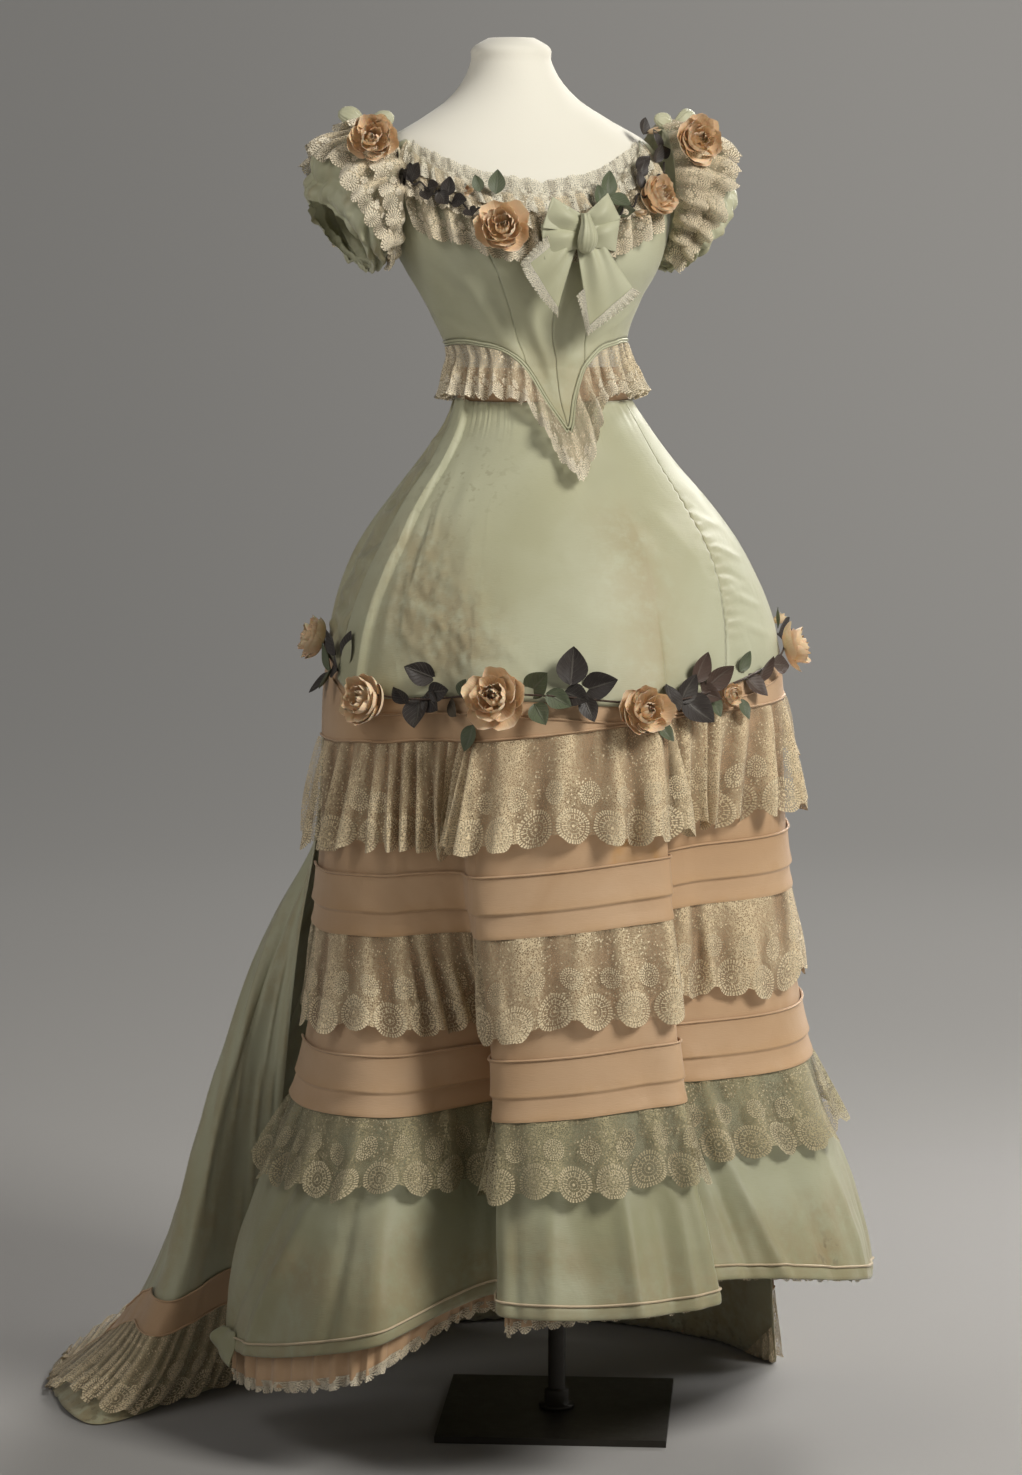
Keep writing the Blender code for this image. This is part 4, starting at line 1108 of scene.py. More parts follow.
@dataclass
class Bodice:
    """The fitted bodice: panels with raised seams, the pointed foot with its piping, and pulls.

    Args:
        silk: The green silk.
        rows: Points down a panel.
        seam_width: Millimetres to either side of a seam where the cloth dips.
    """

    silk: bpy.types.Material
    rows: int = 64
    seam_width: float = 1.7

    def edge(self, angle: Array) -> Array:
        """Height of the upper edge."""
        return smooth(np.abs(angle), NECKLINE["angle"], NECKLINE["height"])

    def foot(self, angle: Array) -> Array:
        """Height of the pointed lower edge."""
        return smooth(np.abs(angle), BASQUE["angle"], BASQUE["height"])

    def panel(self, left_top: float, left_foot: float, right_top: float, right_foot: float,
              columns: int) -> Grid:
        """One panel between two seams.

        The angle runs evenly from seam to seam and the height evenly from edge to edge; the cloth
        dips towards each seam, and pull lines run down to the point and out under the bust.

        Args:
            left_top: Angle of its first seam at the neckline.
            left_foot: Angle of the same seam at the foot.
            right_top: Angle of its second seam at the neckline.
            right_foot: Angle of the same seam at the foot.
            columns: How many columns it has.

        Returns:
            The panel with its cloth map.
        """
        share = np.linspace(0, 1, columns)[:, None]
        fallen = np.linspace(0, 1, self.rows)[None]
        left = left_top + fallen * (left_foot - left_top)
        right = right_top + fallen * (right_foot - right_top)
        angle = left + share * (right - left)
        height = self.edge(angle) + fallen * (self.foot(angle) - self.edge(angle))
        grid = Grid(bodice_point(angle, height))
        width = np.linalg.norm(np.diff(grid.points, axis=0), axis=-1).sum(axis=0)[None]
        from_seam = np.minimum(share, 1 - share) * width
        away = -0.4 * np.exp(-(from_seam / self.seam_width) ** 2)
        away += creases(grid, bodice_point, self.pulls())
        away += 0.35 * value_noise(angle / 7 + 40, height / 16, 5) * step(1330 - height, 0, 60)
        moved = grid.moved(away)
        moved.masks = {"worn": 0.5 * step(1260 - height, 0, 90), "pucker": 0.12 + 0 * height}
        return moved.measured()

    def pulls(self) -> Rows:
        """Main creases of the bodice: long slants to the point, waist pulls and folds under the arms."""
        return table(
            "a0 h0 a1 h1 width depth",
            (-42, 1336, -11, 1182, 10, -4.6), (-52, 1332, -20, 1188, 9, 3.0),
            (-29, 1336, -2, 1190, 10, 2.4),
            (-24, 1300, -2, 1150, 6, -1.6), (-62, 1318, -44, 1240, 8, -1.8), (-14, 1300, -3, 1160, 6, 1.4),
            (16, 1300, 4, 1170, 8, 1.8), (34, 1290, 14, 1212, 7, -2.0), (48, 1276, 24, 1226, 6, 1.2),
            (-60, 1300, -40, 1236, 7, 1.2), (-74, 1262, -50, 1240, 6, -1.2), (64, 1270, 40, 1238, 6, 1.2),
            (-90, 1310, -80, 1244, 8, 1.4), (90, 1310, 82, 1244, 8, -1.2), (110, 1300, 104, 1240, 9, 1.2),
            (-110, 1300, -104, 1240, 9, 1.3), (140, 1290, 146, 1236, 9, 1.0),
            (-140, 1290, -146, 1236, 9, -1.0),
            (6, 1352, 2, 1240, 8, 0.8), (-12, 1352, -10, 1262, 8, -0.8),
        )

    def piping(self) -> list[Grid]:
        """Two cords of the same silk along the pointed foot, one under the other.

        Returns:
            The cords' grids.
        """
        angle = np.linspace(-180, 180, 361)[:-1]
        slope = np.gradient(self.foot(angle), angle) / 1.8
        cords = []
        for below in (1.8, 4.6):
            height = self.foot(angle) - below * np.hypot(1, slope)
            cords.append(cord(bodice_point(angle, height, 0.4), bodice_point(angle, height, 4.0), 1.5,
                              True))
        return cords

    def build(self) -> None:
        """Makes the panels and the piping."""
        s = BodiceSizes
        gap = 0.1
        panels = {
            "bodice_front_left": (gap, gap, s.front_seam_top - gap, s.front_seam_foot - gap, 34),
            "bodice_front_right": (gap - s.front_seam_top, gap - s.front_seam_foot, -gap, -gap, 34),
            "bodice_side_left": (s.front_seam_top, s.front_seam_foot, s.side_seam - gap, s.side_seam - gap,
                                 52),
            "bodice_side_right": (gap - s.side_seam, gap - s.side_seam, -s.front_seam_top,
                                  -s.front_seam_foot, 52),
            "bodice_back_left": (s.side_seam, s.side_seam, 180 - gap, 180 - gap, 60),
            "bodice_back_right": (gap - 180, gap - 180, -s.side_seam, -s.side_seam, 60),
        }
        for name, corners in panels.items():
            grid = self.panel(*corners)
            made = make_object(f"{name}_silk", [grid], self.silk, 0.9, [name])
            declare_sheet([grid], Held.STRETCHED)
        make_object("bodice_piping_cord", self.piping(), self.silk, 0, ["bodice_piping"])


def cord(centres: Array, outward: Array, radius: float, ring: bool = False, sides: int = 8) -> Grid:
    """A round cord: circles of one radius square to the line through some centres.

    Args:
        centres: Points along the cord.
        outward: Points that lie outwards of them, which fix where each circle starts.
        radius: Millimetres.
        ring: Whether the ends join.
        sides: Corners of each circle.

    Returns:
        The cord's surface.
    """
    ahead = np.roll(centres, -1, axis=0) - np.roll(centres, 1,
                                                   axis=0) if ring else np.gradient(centres, axis=0)
    ahead /= np.linalg.norm(ahead, axis=1, keepdims=True)
    out = outward - centres
    out -= (out * ahead).sum(axis=1, keepdims=True) * ahead
    out /= np.linalg.norm(out, axis=1, keepdims=True)
    side = np.cross(ahead, out)
    turn = -np.linspace(0, 2 * math.pi, sides + 1)[None, :, None]
    points = centres[:, None] + radius * (np.cos(turn) * out[:, None] + np.sin(turn) * side[:, None])
    return Grid(points, ring=ring).measured()


def ruffle(surface: Surface, first: float, last: float, top: Callable[[Array], Array],
           foot: Callable[[Array], Array], columns: int, rows: int, folds: tuple[Array, Array],
           stand: tuple[float, float], swing: tuple[float, float], slant: float = 0.0,
           ring: bool = False, fine: float = 0.0) -> Grid:
    """Gathered cloth that falls from a line on a surface.

    At each point it stands off the surface by a base that grows from stand[0] to stand[1] on the
    way down, plus the folds' height times a swing that grows from swing[0] to swing[1], plus
    smaller uneven gathers.

    Args:
        surface: The surface it falls over.
        first: The surface's first parameter at the start.
        last: The same at the end.
        top: Heights of its upper edge.
        foot: Heights of its lower edge.
        columns: Points along it.
        rows: Points down it.
        folds: Places and heights from folds_of.
        stand: Millimetres off the surface at the top and at the foot.
        swing: Millimetres that the folds swing at the top and at the foot.
        slant: How far the folds lean along it on the way down, as a share of its length.
        ring: Whether it closes on itself.
        fine: Millimetres of the smaller gathers.

    Returns:
        The ruffle with its cloth map.
    """
    share = np.linspace(0, 1, columns, endpoint=not ring)[:, None]
    fallen = np.linspace(0, 1, rows)[None]
    at = first + share * (last - first)
    height = top(at) + fallen * (foot(at) - top(at))
    grid = Grid(surface(at + 0 * fallen, height), ring=ring)
    wave = smooth(np.clip(share + slant * fallen, 0, 1), *folds)
    small = value_noise(share * 2.4 * len(folds[0]), fallen * 1.7 + 5, len(folds[0]))
    if ring:
        ends = step(share, 0, 0.01) * step(1 - share, 0, 0.01)
        wave, small = wave * ends, small * ends
    away = stand[0] + (stand[1] - stand[0]) * fallen ** 0.8 + wave * (swing[0] + (swing[1] - swing[0])
                                                                      * fallen ** 0.7)
    # crest: the folds' height from trough to crest, which the lace finish turns into painted shade in the
    # troughs.
    grid.masks = {"crest": np.clip(0.5 + 0.45 * wave + 0.3 * small, 0, 1) + 0 * fallen}
    return grid.moved(away + fine * small * (0.3 + 0.7 * fallen)).measured(rows * 2 // 3)


@dataclass
class NeckTrim:
    """Neck lace, bertha, peplum lace and the cap sleeves with their lace.

    Args:
        silk: The green silk.
        narrow: The lace of the bertha, the peplum and the sleeves.
        neck: The lace that stands at the neckline.
        bodice: The bodice whose edges it follows.
    """

    silk: bpy.types.Material
    narrow: bpy.types.Material
    neck: bpy.types.Material
    bodice: Bodice

    def folded(self, angle: Array) -> Array:
        """An angle brought between -180 and 180."""
        return (angle + 180) % 360 - 180

    def rim(self, angle: Array) -> Array:
        """Height of the neckline at any angle."""
        return self.bodice.edge(self.folded(angle))

    def neck_lace(self) -> None:
        """The pale open lace that stands up from the neckline, in front and behind."""
        for label, first, last, seed in (("front", -55, 55, 11), ("back", 129, 231, 12)):
            standing = ruffle(bodice_point, first, last, lambda a: self.rim(a) - 6,
                              lambda a: self.rim(a) + 2
                              + 20 * (1 - (np.abs(a - (first + last) / 2) / 58) ** 4), 320, 10,
                              folds_of(30, seed, 0.4, 1.0), (2.2, 0.5), (0.3, 2.0), 0.01, fine=1.2)
            standing.points = standing.points[::-1]
            standing = standing.measured(6)
            falling = ruffle(bodice_point, first, last, lambda a: self.rim(a) + 3,
                             lambda a: self.rim(a) - 22,
                             320, 10, folds_of(40, seed + 5, 0.5, 1.0), (3.6, 10.5), (0.4, 3.4), 0.01,
                             fine=1.6)
            made = make_object(f"neck_lace_{label}_ruffle", [standing, falling], self.neck, 0,
                               [f"neck_lace_{label}"])
            declare_sheet([standing, falling], Held.GATHERED)

    def bertha(self) -> None:
        """The puffy lace that falls from the neckline in two tiers, deeper towards the arms."""
        for label, middle, half, seed in (("front", 0, 57, 21), ("back", 180, 52, 22)):
            def deep(angle: Array, share: float = 1.0) -> Array:
                """Height of a tier's foot, from its share of the whole fall."""
                return self.rim(angle) - share * (70 + 24 * (np.abs(angle - middle) / half) ** 1.5
                                                  + 5 * value_noise(angle / 9 + 30, 0 * angle + seed, seed))

            under = ruffle(bodice_point, middle - half, middle + half, lambda a: self.rim(a) - 8, deep, 420,
                           18, folds_of(24, seed, 0.45, 1.0), (3.2, 12.0), (0.6, 9.0), 0.02, fine=2.6)
            over = ruffle(bodice_point, middle - half, middle + half, lambda a: self.rim(a) - 1,
                          lambda a: deep(a, 0.6), 380, 14, folds_of(28, seed + 3, 0.4, 1.0), (5.0, 13.5),
                          (0.5, 5.5), -0.02, fine=2.2)
            made = make_object(f"bertha_lace_{label}_fall", [under, over], self.narrow, 0,
                               [f"bertha_lace_{label}"])
            declare_sheet([under, over], Held.GATHERED)

    def peplum(self) -> None:
        """The gathered lace under the piping, deepest at the point."""
        def top(angle: Array) -> Array:
            """Height just under the piping.

            Args:
                angle: Degrees from the bodice's centre front.

            Returns:
                Millimetres above the floor.
            """
            turned = self.folded(angle)
            slope = np.abs(np.gradient(self.bodice.foot(np.linspace(-180, 180, 361)))) / 1.8
            below = 5.5 * np.hypot(1, np.interp(turned, np.linspace(-180, 180, 361), slope))
            return self.bodice.foot(turned) - below

        grid = ruffle(bodice_point, 180.0, 540.0, top,
                      lambda a: top(a) - 56 - 8 * step(np.abs(self.folded(a)), 20, 60)
                      + 4 * value_noise(a / 8.0, 0 * a + 4, 9),
                      900, 18, folds_of(76, 31, 0.4, 1.0), (2.4, 13.5), (0.8, 9.5), 0.008, True, 3.6)
        made = make_object("peplum_lace_fall", [grid], self.narrow, 0, ["peplum_lace"])
        declare_sheet([grid], Held.GATHERED)

    def sleeves(self) -> None:
        """Ruched cap sleeves in rolls, with two falls of lace round each."""
        for side, label in ((1, "left"), (-1, "right")):
            turn = -np.linspace(0, 2 * math.pi, 225)[:-1, None]
            row = np.linspace(0, 5, 60)[None]
            grid = Grid(sleeve_point(side, turn, row + 0 * turn), ring=True)
            rolls = np.abs(np.sin(row * math.pi / 1.25 + 0.7 * np.sin(3 * turn + side)
                                  + 0.4 * np.sin(7 * turn)))
            tucks = value_noise((turn / (2 * math.pi) * 32) % 32 + 0 * row, row * 1.1 + 3 * side + 9,
                                40 + side)
            fine = value_noise((turn / (2 * math.pi) * 64) % 64 + 0 * row, row * 2.4 + 5, 44)
            outer = 0.35 + 0.65 * step(row, 2.0, 3.2)
            grid = grid.moved(step(row, 0, 0.5) * (outer * (8.0 * rolls + 3.5 * tucks) + 1.8 * fine - 5.0))
            grid.masks = {"pucker": 0.2 + 0 * row * turn, "worn": np.clip(0.7 * tucks, 0, 1)}
            closed = Grid(np.concatenate([grid.points, grid.points[:1]]), masks={
                k: np.concatenate([m, m[:1]]) for k, m in grid.masks.items()}).measured()
            made = make_object(f"sleeve_{label}_puffs", [closed], self.silk, 0, [f"sleeve_{label}"])
            declare_sheet([closed], Held.GATHERED)
            falls = [self.sleeve_fall(side, 0.1, 1.9, 3.0, 12.0, 50 + side),
                     self.sleeve_fall(side, 1.3, 3.2, 4.0, 12.0, 60 + side)]
            lace = make_object(f"sleeve_lace_{label}_falls", falls, self.narrow, 0,
                               [f"sleeve_lace_{label}"])
            declare_sheet(falls, Held.GATHERED)

    def sleeve_fall(self, side: int, first: float, last: float, near: float, far: float, seed: int) -> Grid:
        """One ruffle over a sleeve, from one ring to another, over its top and sides.

        It runs round the ring from under the front to under the back, and stands off the sleeve by
        near to far millimetres with folds that grow outwards.

        Args:
            side: 1 for the wearer's left, -1 for the right.
            first: The ring where it is sewn on.
            last: The ring that its edge reaches.
            near: Millimetres off the sleeve at the top.
            far: Millimetres off the sleeve at the edge.
            seed: Sets its folds.

        Returns:
            The ruffle with its cloth map.
        """
        share = np.linspace(0, 1, 320)[:, None]
        fallen = np.linspace(0, 1, 15)[None]
        turn = (2.6 - share * 5.2) + 0 * fallen
        uneven = 1 + 0.13 * value_noise(share * 17, 0 * share + 3, seed)
        grid = Grid(sleeve_point(side, turn, first + fallen * (last - first) * uneven))
        places, heights = folds_of(34, seed, 0.4, 1.0)
        away = near + (far - near) * fallen + smooth(share, places, heights) * (1.0 + 7.0 * fallen)
        small = value_noise(share * 62, fallen * 1.7, seed + 7)
        away += 2.4 * small * (0.3 + 0.7 * fallen)
        # The folds' height, which the lace finish turns into painted shade in the troughs.
        grid.masks = {"crest": np.clip(0.5 + 0.45 * smooth(share, places, heights) + 0.3 * small, 0, 1)}
        return grid.moved(away).measured(8)

    def build(self) -> None:
        """Makes the laces and the sleeves."""
        self.neck_lace()
        self.bertha()
        self.peplum()
        self.sleeves()


@dataclass
class FrontSkirt:
    """The apron, the peach skirt with its tucks and flounces, and the green hem.

    Args:
        sage: The apron's silk.
        peach: The peach silk.
        lace: The lace of the upper flounces.
        shaded_lace: The lace of the lowest flounce, a darker copy that paints its shade.
        narrow: The dust ruffle's edge.
        narrow_silk: The pale piping of the hem.
        green: The hem's silk, whose darker tone is partly painted shade.
        waist: Height of the apron's top.
        per_fold: Points from one fold line to the next.
    """

    sage: bpy.types.Material
    peach: bpy.types.Material
    lace: bpy.types.Material
    shaded_lace: bpy.types.Material
    narrow: bpy.types.Material
    narrow_silk: bpy.types.Material
    green: bpy.types.Material
    waist: float = 1162.6
    per_fold: int = 17

    def edge(self, at: Array) -> Array:
        """Height of the apron's foot."""
        return along(FOLDS, "edge", at)

    def tier(self, level: float) -> Callable[[Array], Array]:
        """Heights of a tier's line that lifts towards the wearer's left."""
        return lambda at: along(FOLDS, "lift", at) + level

    def hem(self, at: Array) -> Array:
        """Height of the green hem's foot."""
        return along(FOLDS, "hem", at)

    def sheet(self, first: float, last: float, top: Callable[[Array], Array],
              foot: Callable[[Array], Array],
              rows: int, off: tuple[Sequence[float], Sequence[float]]) -> Grid:
        """A plain stretch of the skirt between two fold lines and two heights.

        Args:
            first: The fold line it starts at.
            last: The fold line it ends at.
            top: Heights of its upper edge.
            foot: Heights of its lower edge.
            rows: Points down it.
            off: Shares of the way down, and millimetres off the skirt's surface there.

        Returns:
            The surface.
        """
        columns = int(round((last - first) * self.per_fold)) + 1
        at = np.linspace(first, last, columns)[:, None]
        fallen = np.linspace(0, 1, rows)[None]
        height = top(at) + fallen * (foot(at) - top(at))
        grid = Grid(front_point(at + 0 * fallen, height))
        return grid.moved(np.interp(fallen, *off) + 0 * at)

    def place(self, grid: Grid, first: float, last: float) -> Array:
        """The fold line's number at each point of a stretch."""
        return np.linspace(first, last, len(grid.points))[:, None] + np.zeros(grid.points.shape[1])[None]

    def apron_creases(self) -> Rows:
        """Main creases of the apron: crumples at the wearer's right, soft drags below the point."""
        return table(
            "a0 h0 a1 h1 width depth",
            (3.0, 1120, 2.5, 1010, 9, 1.8), (3.4, 1090, 2.8, 930, 7, -1.8), (2.7, 1000, 2.6, 880, 8, 1.6),
            (4.0, 1000, 6.6, 960, 6, 1.5), (3.6, 970, 6.0, 930, 5, -1.6), (4.4, 950, 7.4, 905, 6, 1.7),
            (3.2, 930, 5.2, 890, 5, 1.5), (5.0, 905, 7.0, 872, 5, -1.4), (7.0, 980, 8.4, 900, 7, 1.2),
            (8.2, 920, 8.8, 870, 6, 1.2), (7.6, 900, 9.4, 880, 5, -1.1), (9.6, 1080, 10.2, 960, 12, 0.8),
            (11.5, 1100, 12.8, 980, 10, -0.9), (12.6, 1060, 13.7, 960, 9, 0.9),
            (9.0, 960, 10.6, 900, 9, 0.7),
            (6.6, 1110, 6.0, 1020, 10, -0.8), (13.0, 930, 13.6, 880, 7, 0.8),
        )

    def apron(self) -> None:
        """The apron's front with its lapped fold, its ruched right side and its puckered left seam."""
        lapped = ([0, 0.72, 0.94, 1], [0, 0, 2.4, 2.9])
        first, last = 1.02, 14.0
        grid = self.sheet(first, last, lambda at: self.waist + 0 * at, self.edge, 64, lapped)
        at, height = self.place(grid, first, last), grid.points[..., 2]
        fold_line = 2.1 + 0.25 * step(height, 900, 1150)
        strip = 8.5 * step(fold_line - at, 0.0, 0.07) * step(at, 1.03, 1.35)
        away = strip + creases(grid, front_point, self.apron_creases())
        pucker_here = (spot(grid, front_point(np.array(4.6), np.array(945.0)), 62)
                       + 0.9 * spot(grid, front_point(np.array(6.6), np.array(905.0)), 46)
                       + 0.7 * spot(grid, front_point(np.array(3.1), np.array(1010.0)), 42))
        away += 0.9 * pucker_here * value_noise(at * 3.1 + height / 26, height / 14, 8)
        away += 1.3 * value_noise(at * 1.1 + 3, height / 70, 12) * step(1110 - height, 0, 60)
        near_seam = np.exp(-((14 - at) / 0.22) ** 2) * step(1120 - height, 0, 50) * step(height, 880, 930)
        away += 1.0 * near_seam * np.sin(height / 1.7 + 2 * value_noise(height / 14, at, 3))
        waist_gathers = np.exp(-((self.waist - height) / 26) ** 2)
        away += 0.8 * waist_gathers * value_noise(at * 5, 0 * height + 2, 13)
        grid = grid.moved(away)
        beige = np.exp(-((at - 11.2) / 1.2) ** 2) * step(1080 - height, 0, 60) * 0.75
        grid.masks = {
            "worn": np.clip(beige + 0.95 * pucker_here, 0, 1),
            "pucker": np.clip(0.34 * pucker_here, 0, 1),
            "stain": np.clip(spot(grid, front_point(np.array(4.4), np.array(1080.0)), 52)
                             * 0.4 + 0.25 * pucker_here, 0, 1),
        }
        grid = grid.measured()
        made = make_object("apron_front_silk", [grid], self.sage, 0.9, ["apron_front"])
        declare_sheet([grid], Held.HUNG)
        self.apron_sides(lapped)

    def apron_sides(self, lapped: tuple[Sequence[float], Sequence[float]]) -> None:
        """The ruched strip at the wearer's right and the plain one at the left.

        Args:
            lapped: The lapped edge's places and heights.
        """
        right = self.sheet(0.0, 0.995, lambda at: self.waist + 0 * at, self.edge, 120, lapped)
        at, height = self.place(right, 0, 0.995), right.points[..., 2]
        edges = np.sin(np.pi * np.clip(at, 0, 1)) ** 0.5
        ruching = np.abs(np.sin(height / 12.5 + 1.5 * value_noise(at * 2.5, height / 40, 15)))
        away = edges * (6.0 * ruching + 3.0 * value_noise(at * 5, height / 12, 16)) * step(1150 - height, 0,
                                                                                           40)
        right = right.moved(away)
        right.masks = {"worn": 0.5 + 0 * at, "pucker": 0.4 * edges}
        left = self.sheet(14.0, 17.0, lambda at: self.waist + 0 * at, self.edge, 90, lapped)
        at, height = self.place(left, 14, 17), left.points[..., 2]
        band = step(1090 - height, 0, 60) * step(height, 885, 930)
        puckers = np.exp(-((at - 14) / 0.3) ** 2) * band
        away = 2.2 * puckers * np.sin(height / 1.9 + 2.5 * value_noise(height / 12, at * 2, 4))
        away -= 2.4 * np.exp(-((at - 14) / 0.03) ** 2)
        away += creases(left, front_point, table(
            "a0 h0 a1 h1 width depth",
            (14.1, 1040, 14.9, 1022, 5, 1.6), (14.1, 1010, 15.1, 985, 5, 1.6),
            (14.1, 985, 14.8, 962, 4, -1.2),
            (14.1, 960, 15.0, 935, 5, 1.5), (14.6, 1080, 15.4, 980, 9, 1.1),
            (15.6, 1060, 16.0, 920, 10, -1.2),
            (16.3, 1080, 16.6, 930, 9, 1.2), (14.3, 925, 15.2, 900, 5, 1.2)))
        left = left.moved(away)
        left.masks = {"worn": 0.2 * puckers, "pucker": np.clip(0.15 + 0.6 * puckers, 0, 1)}
        for label, grid in (("right", right.measured()), ("left", left.measured())):
            made = make_object(f"apron_side_{label}_silk", [grid], self.sage, 0.9, [f"apron_side_{label}"])
            declare_sheet([grid], Held.GATHERED if label == "right" else Held.HUNG)

    def line(self, height: Callable[[Array], Array], off: float, radius: float,
             away: Optional[Callable[[Grid], Array]] = None) -> Grid:
        """A corded line across the skirt at one tier's height, which may follow some folds.

        Args:
            height: The cord's height at each fold line's number.
            off: Millimetres off the skirt.
            radius: The cord's radius.
            away: The folds that it follows, if any.

        Returns:
            The cord.
        """
        at = np.linspace(0, LAST_FOLD, LAST_FOLD * self.per_fold + 1)
        level = height(at)
        grid = Grid(front_point(np.stack([at, at], 1), np.stack([level + 1, level - 1], 1)))
        if away is not None:
            grid = grid.moved(away(grid))
        out = grid.normals()[:, 0]
        centres = grid.points.mean(axis=1) + off * out
        return cord(centres, centres + out, radius)

    def peach_skirt(self) -> None:
        """The peach skirt, its band under the garland and its two pairs of tucks."""
        grid = self.sheet(0, LAST_FOLD, lambda at: self.edge(at) + 12, self.tier(409.2), 60,
                          ([0, 1], [0, 0]))
        at, height = self.place(grid, 0, LAST_FOLD), grid.points[..., 2]
        away = 0.9 * value_noise(at * 1.3, height / 60, 71) + 0.5 * value_noise(at * 4.1, height / 22,
                                                                                72) - 0.5
        for seam in (11.4, 15.0):
            away -= 1.1 * np.exp(-((at - seam) / 0.025) ** 2)
        grid = grid.moved(away)
        blot = spot(grid, front_point(np.array(10.2), np.array(676.0)), 26)
        ring = np.exp(-((np.linalg.norm(grid.points - front_point(np.array(10.2), np.array(680.0)),
                                        axis=-1) - 24)
                        / 4) ** 2)
        grid.masks = {"worn": np.clip(0.5 * blot + 0.9 * ring, 0, 1)}
        grid = grid.measured()
        made = make_object("peach_skirt_silk", [grid], self.peach, 0, ["peach_skirt"])
        declare_sheet([grid], Held.HUNG)
        band = self.sheet(0, LAST_FOLD, lambda at: self.edge(at) - 0.4, self.tier(815), 12,
                          ([0, 0.5, 1], [1.6, 2.2, 1.7])).measured()
        cords = [self.line(lambda at: self.edge(at) - 17, 2.8, 1.3), self.line(self.tier(817), 2.6, 1.3)]
        made = make_object("peach_band_silk", [band, *cords], self.peach, 0, ["peach_band"])
        declare_sheet([band, *cords], Held.STRETCHED)
        for label, top, fold, foot in (("upper", 671.0, 630.0, 604.0), ("lower", 474.0, 434.0, 409.0)):
            self.tucks(label, top, fold, foot)

    def tucks(self, label: str, top: float, fold: float, foot: float) -> None:
        """A pair of tucks: a corded line, a strip down to its fold, and a second strip under it.

        Each strip stands off a little more towards its fold, and the fold's edge waves slightly.

        Args:
            label: Which pair it is.
            top: The corded line's height.
            fold: Height of the first fold.
            foot: Height of the second fold.
        """
        depth = top - foot
        drop = (top - fold) / depth
        off = ([0, 0.03, 0.1, drop - 0.05, drop - 0.008, drop + 0.004, drop + 0.02, 0.8, 0.97, 1],
               [1.3, 2.2, 2.0, 3.2, 3.6, 3.0, 1.5, 1.9, 3.0, 2.6])
        grid = self.sheet(0, LAST_FOLD, self.tier(top), self.tier(foot), 48, off)
        at, height = self.place(grid, 0, LAST_FOLD), grid.points[..., 2]
        below = np.linspace(0, 1, grid.points.shape[1])[None]
        lift = np.exp(-((below - drop) / 0.16) ** 2) * (below < drop) + np.exp(-((below - 1) / 0.16) ** 2)
        grid = grid.moved(lift * (0.9 + 0.9 * value_noise(at * 2.1 + 7,
                                                          0 * height + (3.5 if label == "upper" else 9.5),
                                                          73)))
        grid.masks = {"worn": 0.25 * lift}
        grid = grid.measured()
        cords = [self.line(self.tier(top - 0.5), 2.6, 1.5)]
        made = make_object(f"{label}_tucks_silk", [grid, *cords], self.peach, 0, [f"{label}_tucks"])
        declare_sheet([grid, *cords], Held.FOLDED)

    def flounces(self) -> None:
        """Three gathered lace flounces; the top one is the fullest, and its last lobe is short."""
        def short(at: Array) -> Array:
            """How far the first flounce is shorter at the wearer's left."""
            return 46 * step(at, 15.7, 16.1)

        def foot(level: float, seed: int) -> Callable[[Array], Array]:
            """Heights of a flounce's uneven foot."""
            return lambda at: self.tier(level)(at) + 8 * value_noise(at * 1.9, 0 * at + seed, seed)

        first = ruffle(front_point, 0, LAST_FOLD, self.tier(815), lambda at: foot(694, 3)(at) + short(at),
                       1100, 20, folds_of(54, 101, 0.35, 1.0), (3.2, 18.0), (2.0, 15.0), 0.008, fine=4.5)
        second = ruffle(front_point, 0, LAST_FOLD, self.tier(604), foot(498, 5), 950, 17,
                        folds_of(44, 102, 0.3, 1.0), (2.6, 11.0), (0.3, 7.5), 0.004, fine=3.0)
        third = ruffle(front_point, 0, LAST_FOLD, self.tier(408), foot(322, 7), 950, 17,
                       folds_of(46, 103, 0.3, 1.0), (2.6, 15.0), (0.4, 9.0), 0.004, fine=3.5)
        for number, grid in enumerate((first, second, third), start=1):
            lace = self.shaded_lace if number == 3 else self.lace
            made = make_object(f"lace_flounce_{number}_fall", [grid], lace, 0, [f"lace_flounce_{number}"])
            declare_sheet([grid], Held.GATHERED)

    def hem_creases(self) -> Rows:
        """Main folds of the green hem, from the flounce down past its foot."""
        return table(
            "a0 h0 a1 h1 width depth",
            (1.9, 345, 0.6, 60, 13, 9), (1.3, 335, 0.0, 80, 11, -8), (2.9, 345, 3.0, 90, 14, 5),
            (2.4, 330, 2.0, 80, 9, -4), (5.0, 320, 5.1, 120, 12, 4), (6.4, 320, 6.2, 120, 10, -4),
            (8.2, 335, 8.1, 120, 8, -4), (8.7, 345, 8.5, 120, 11, 6), (9.1, 345, 9.05, 90, 24, -9),
            (9.55, 350, 9.65, 110, 10, 9), (10.05, 345, 10.15, 120, 12, -8), (10.4, 335, 10.6, 120, 8, 4),
            (10.75, 355, 11.15, 110, 10, 9), (12.3, 350, 12.5, 120, 11, 5), (13.1, 340, 13.3, 120, 8, -5),
            (13.5, 350, 13.9, 120, 10, 8), (14.4, 345, 14.8, 120, 13, -6), (15.2, 340, 15.3, 110, 12, 5),
            (15.6, 320, 15.8, 110, 8, -4), (16.05, 345, 16.25, 100, 9, 7), (16.5, 330, 16.75, 100, 9, -6),
        )

    def hem_away(self, grid: Grid) -> Array:
        """Millimetres that the hem's folds stand out, from nothing under the flounce.

        Args:
            grid: Points of the hem.

        Returns:
            Millimetres outwards at each point.
        """
        height = grid.points[..., 2]
        small = value_noise(grid.points[..., 0] / 24, height / 60, 14) + value_noise(height / 23,
                                                                                     height / 90, 15)
        return (creases(grid, front_point, self.hem_creases()) + 0.9 * small) * step(400 - height, 0, 60)

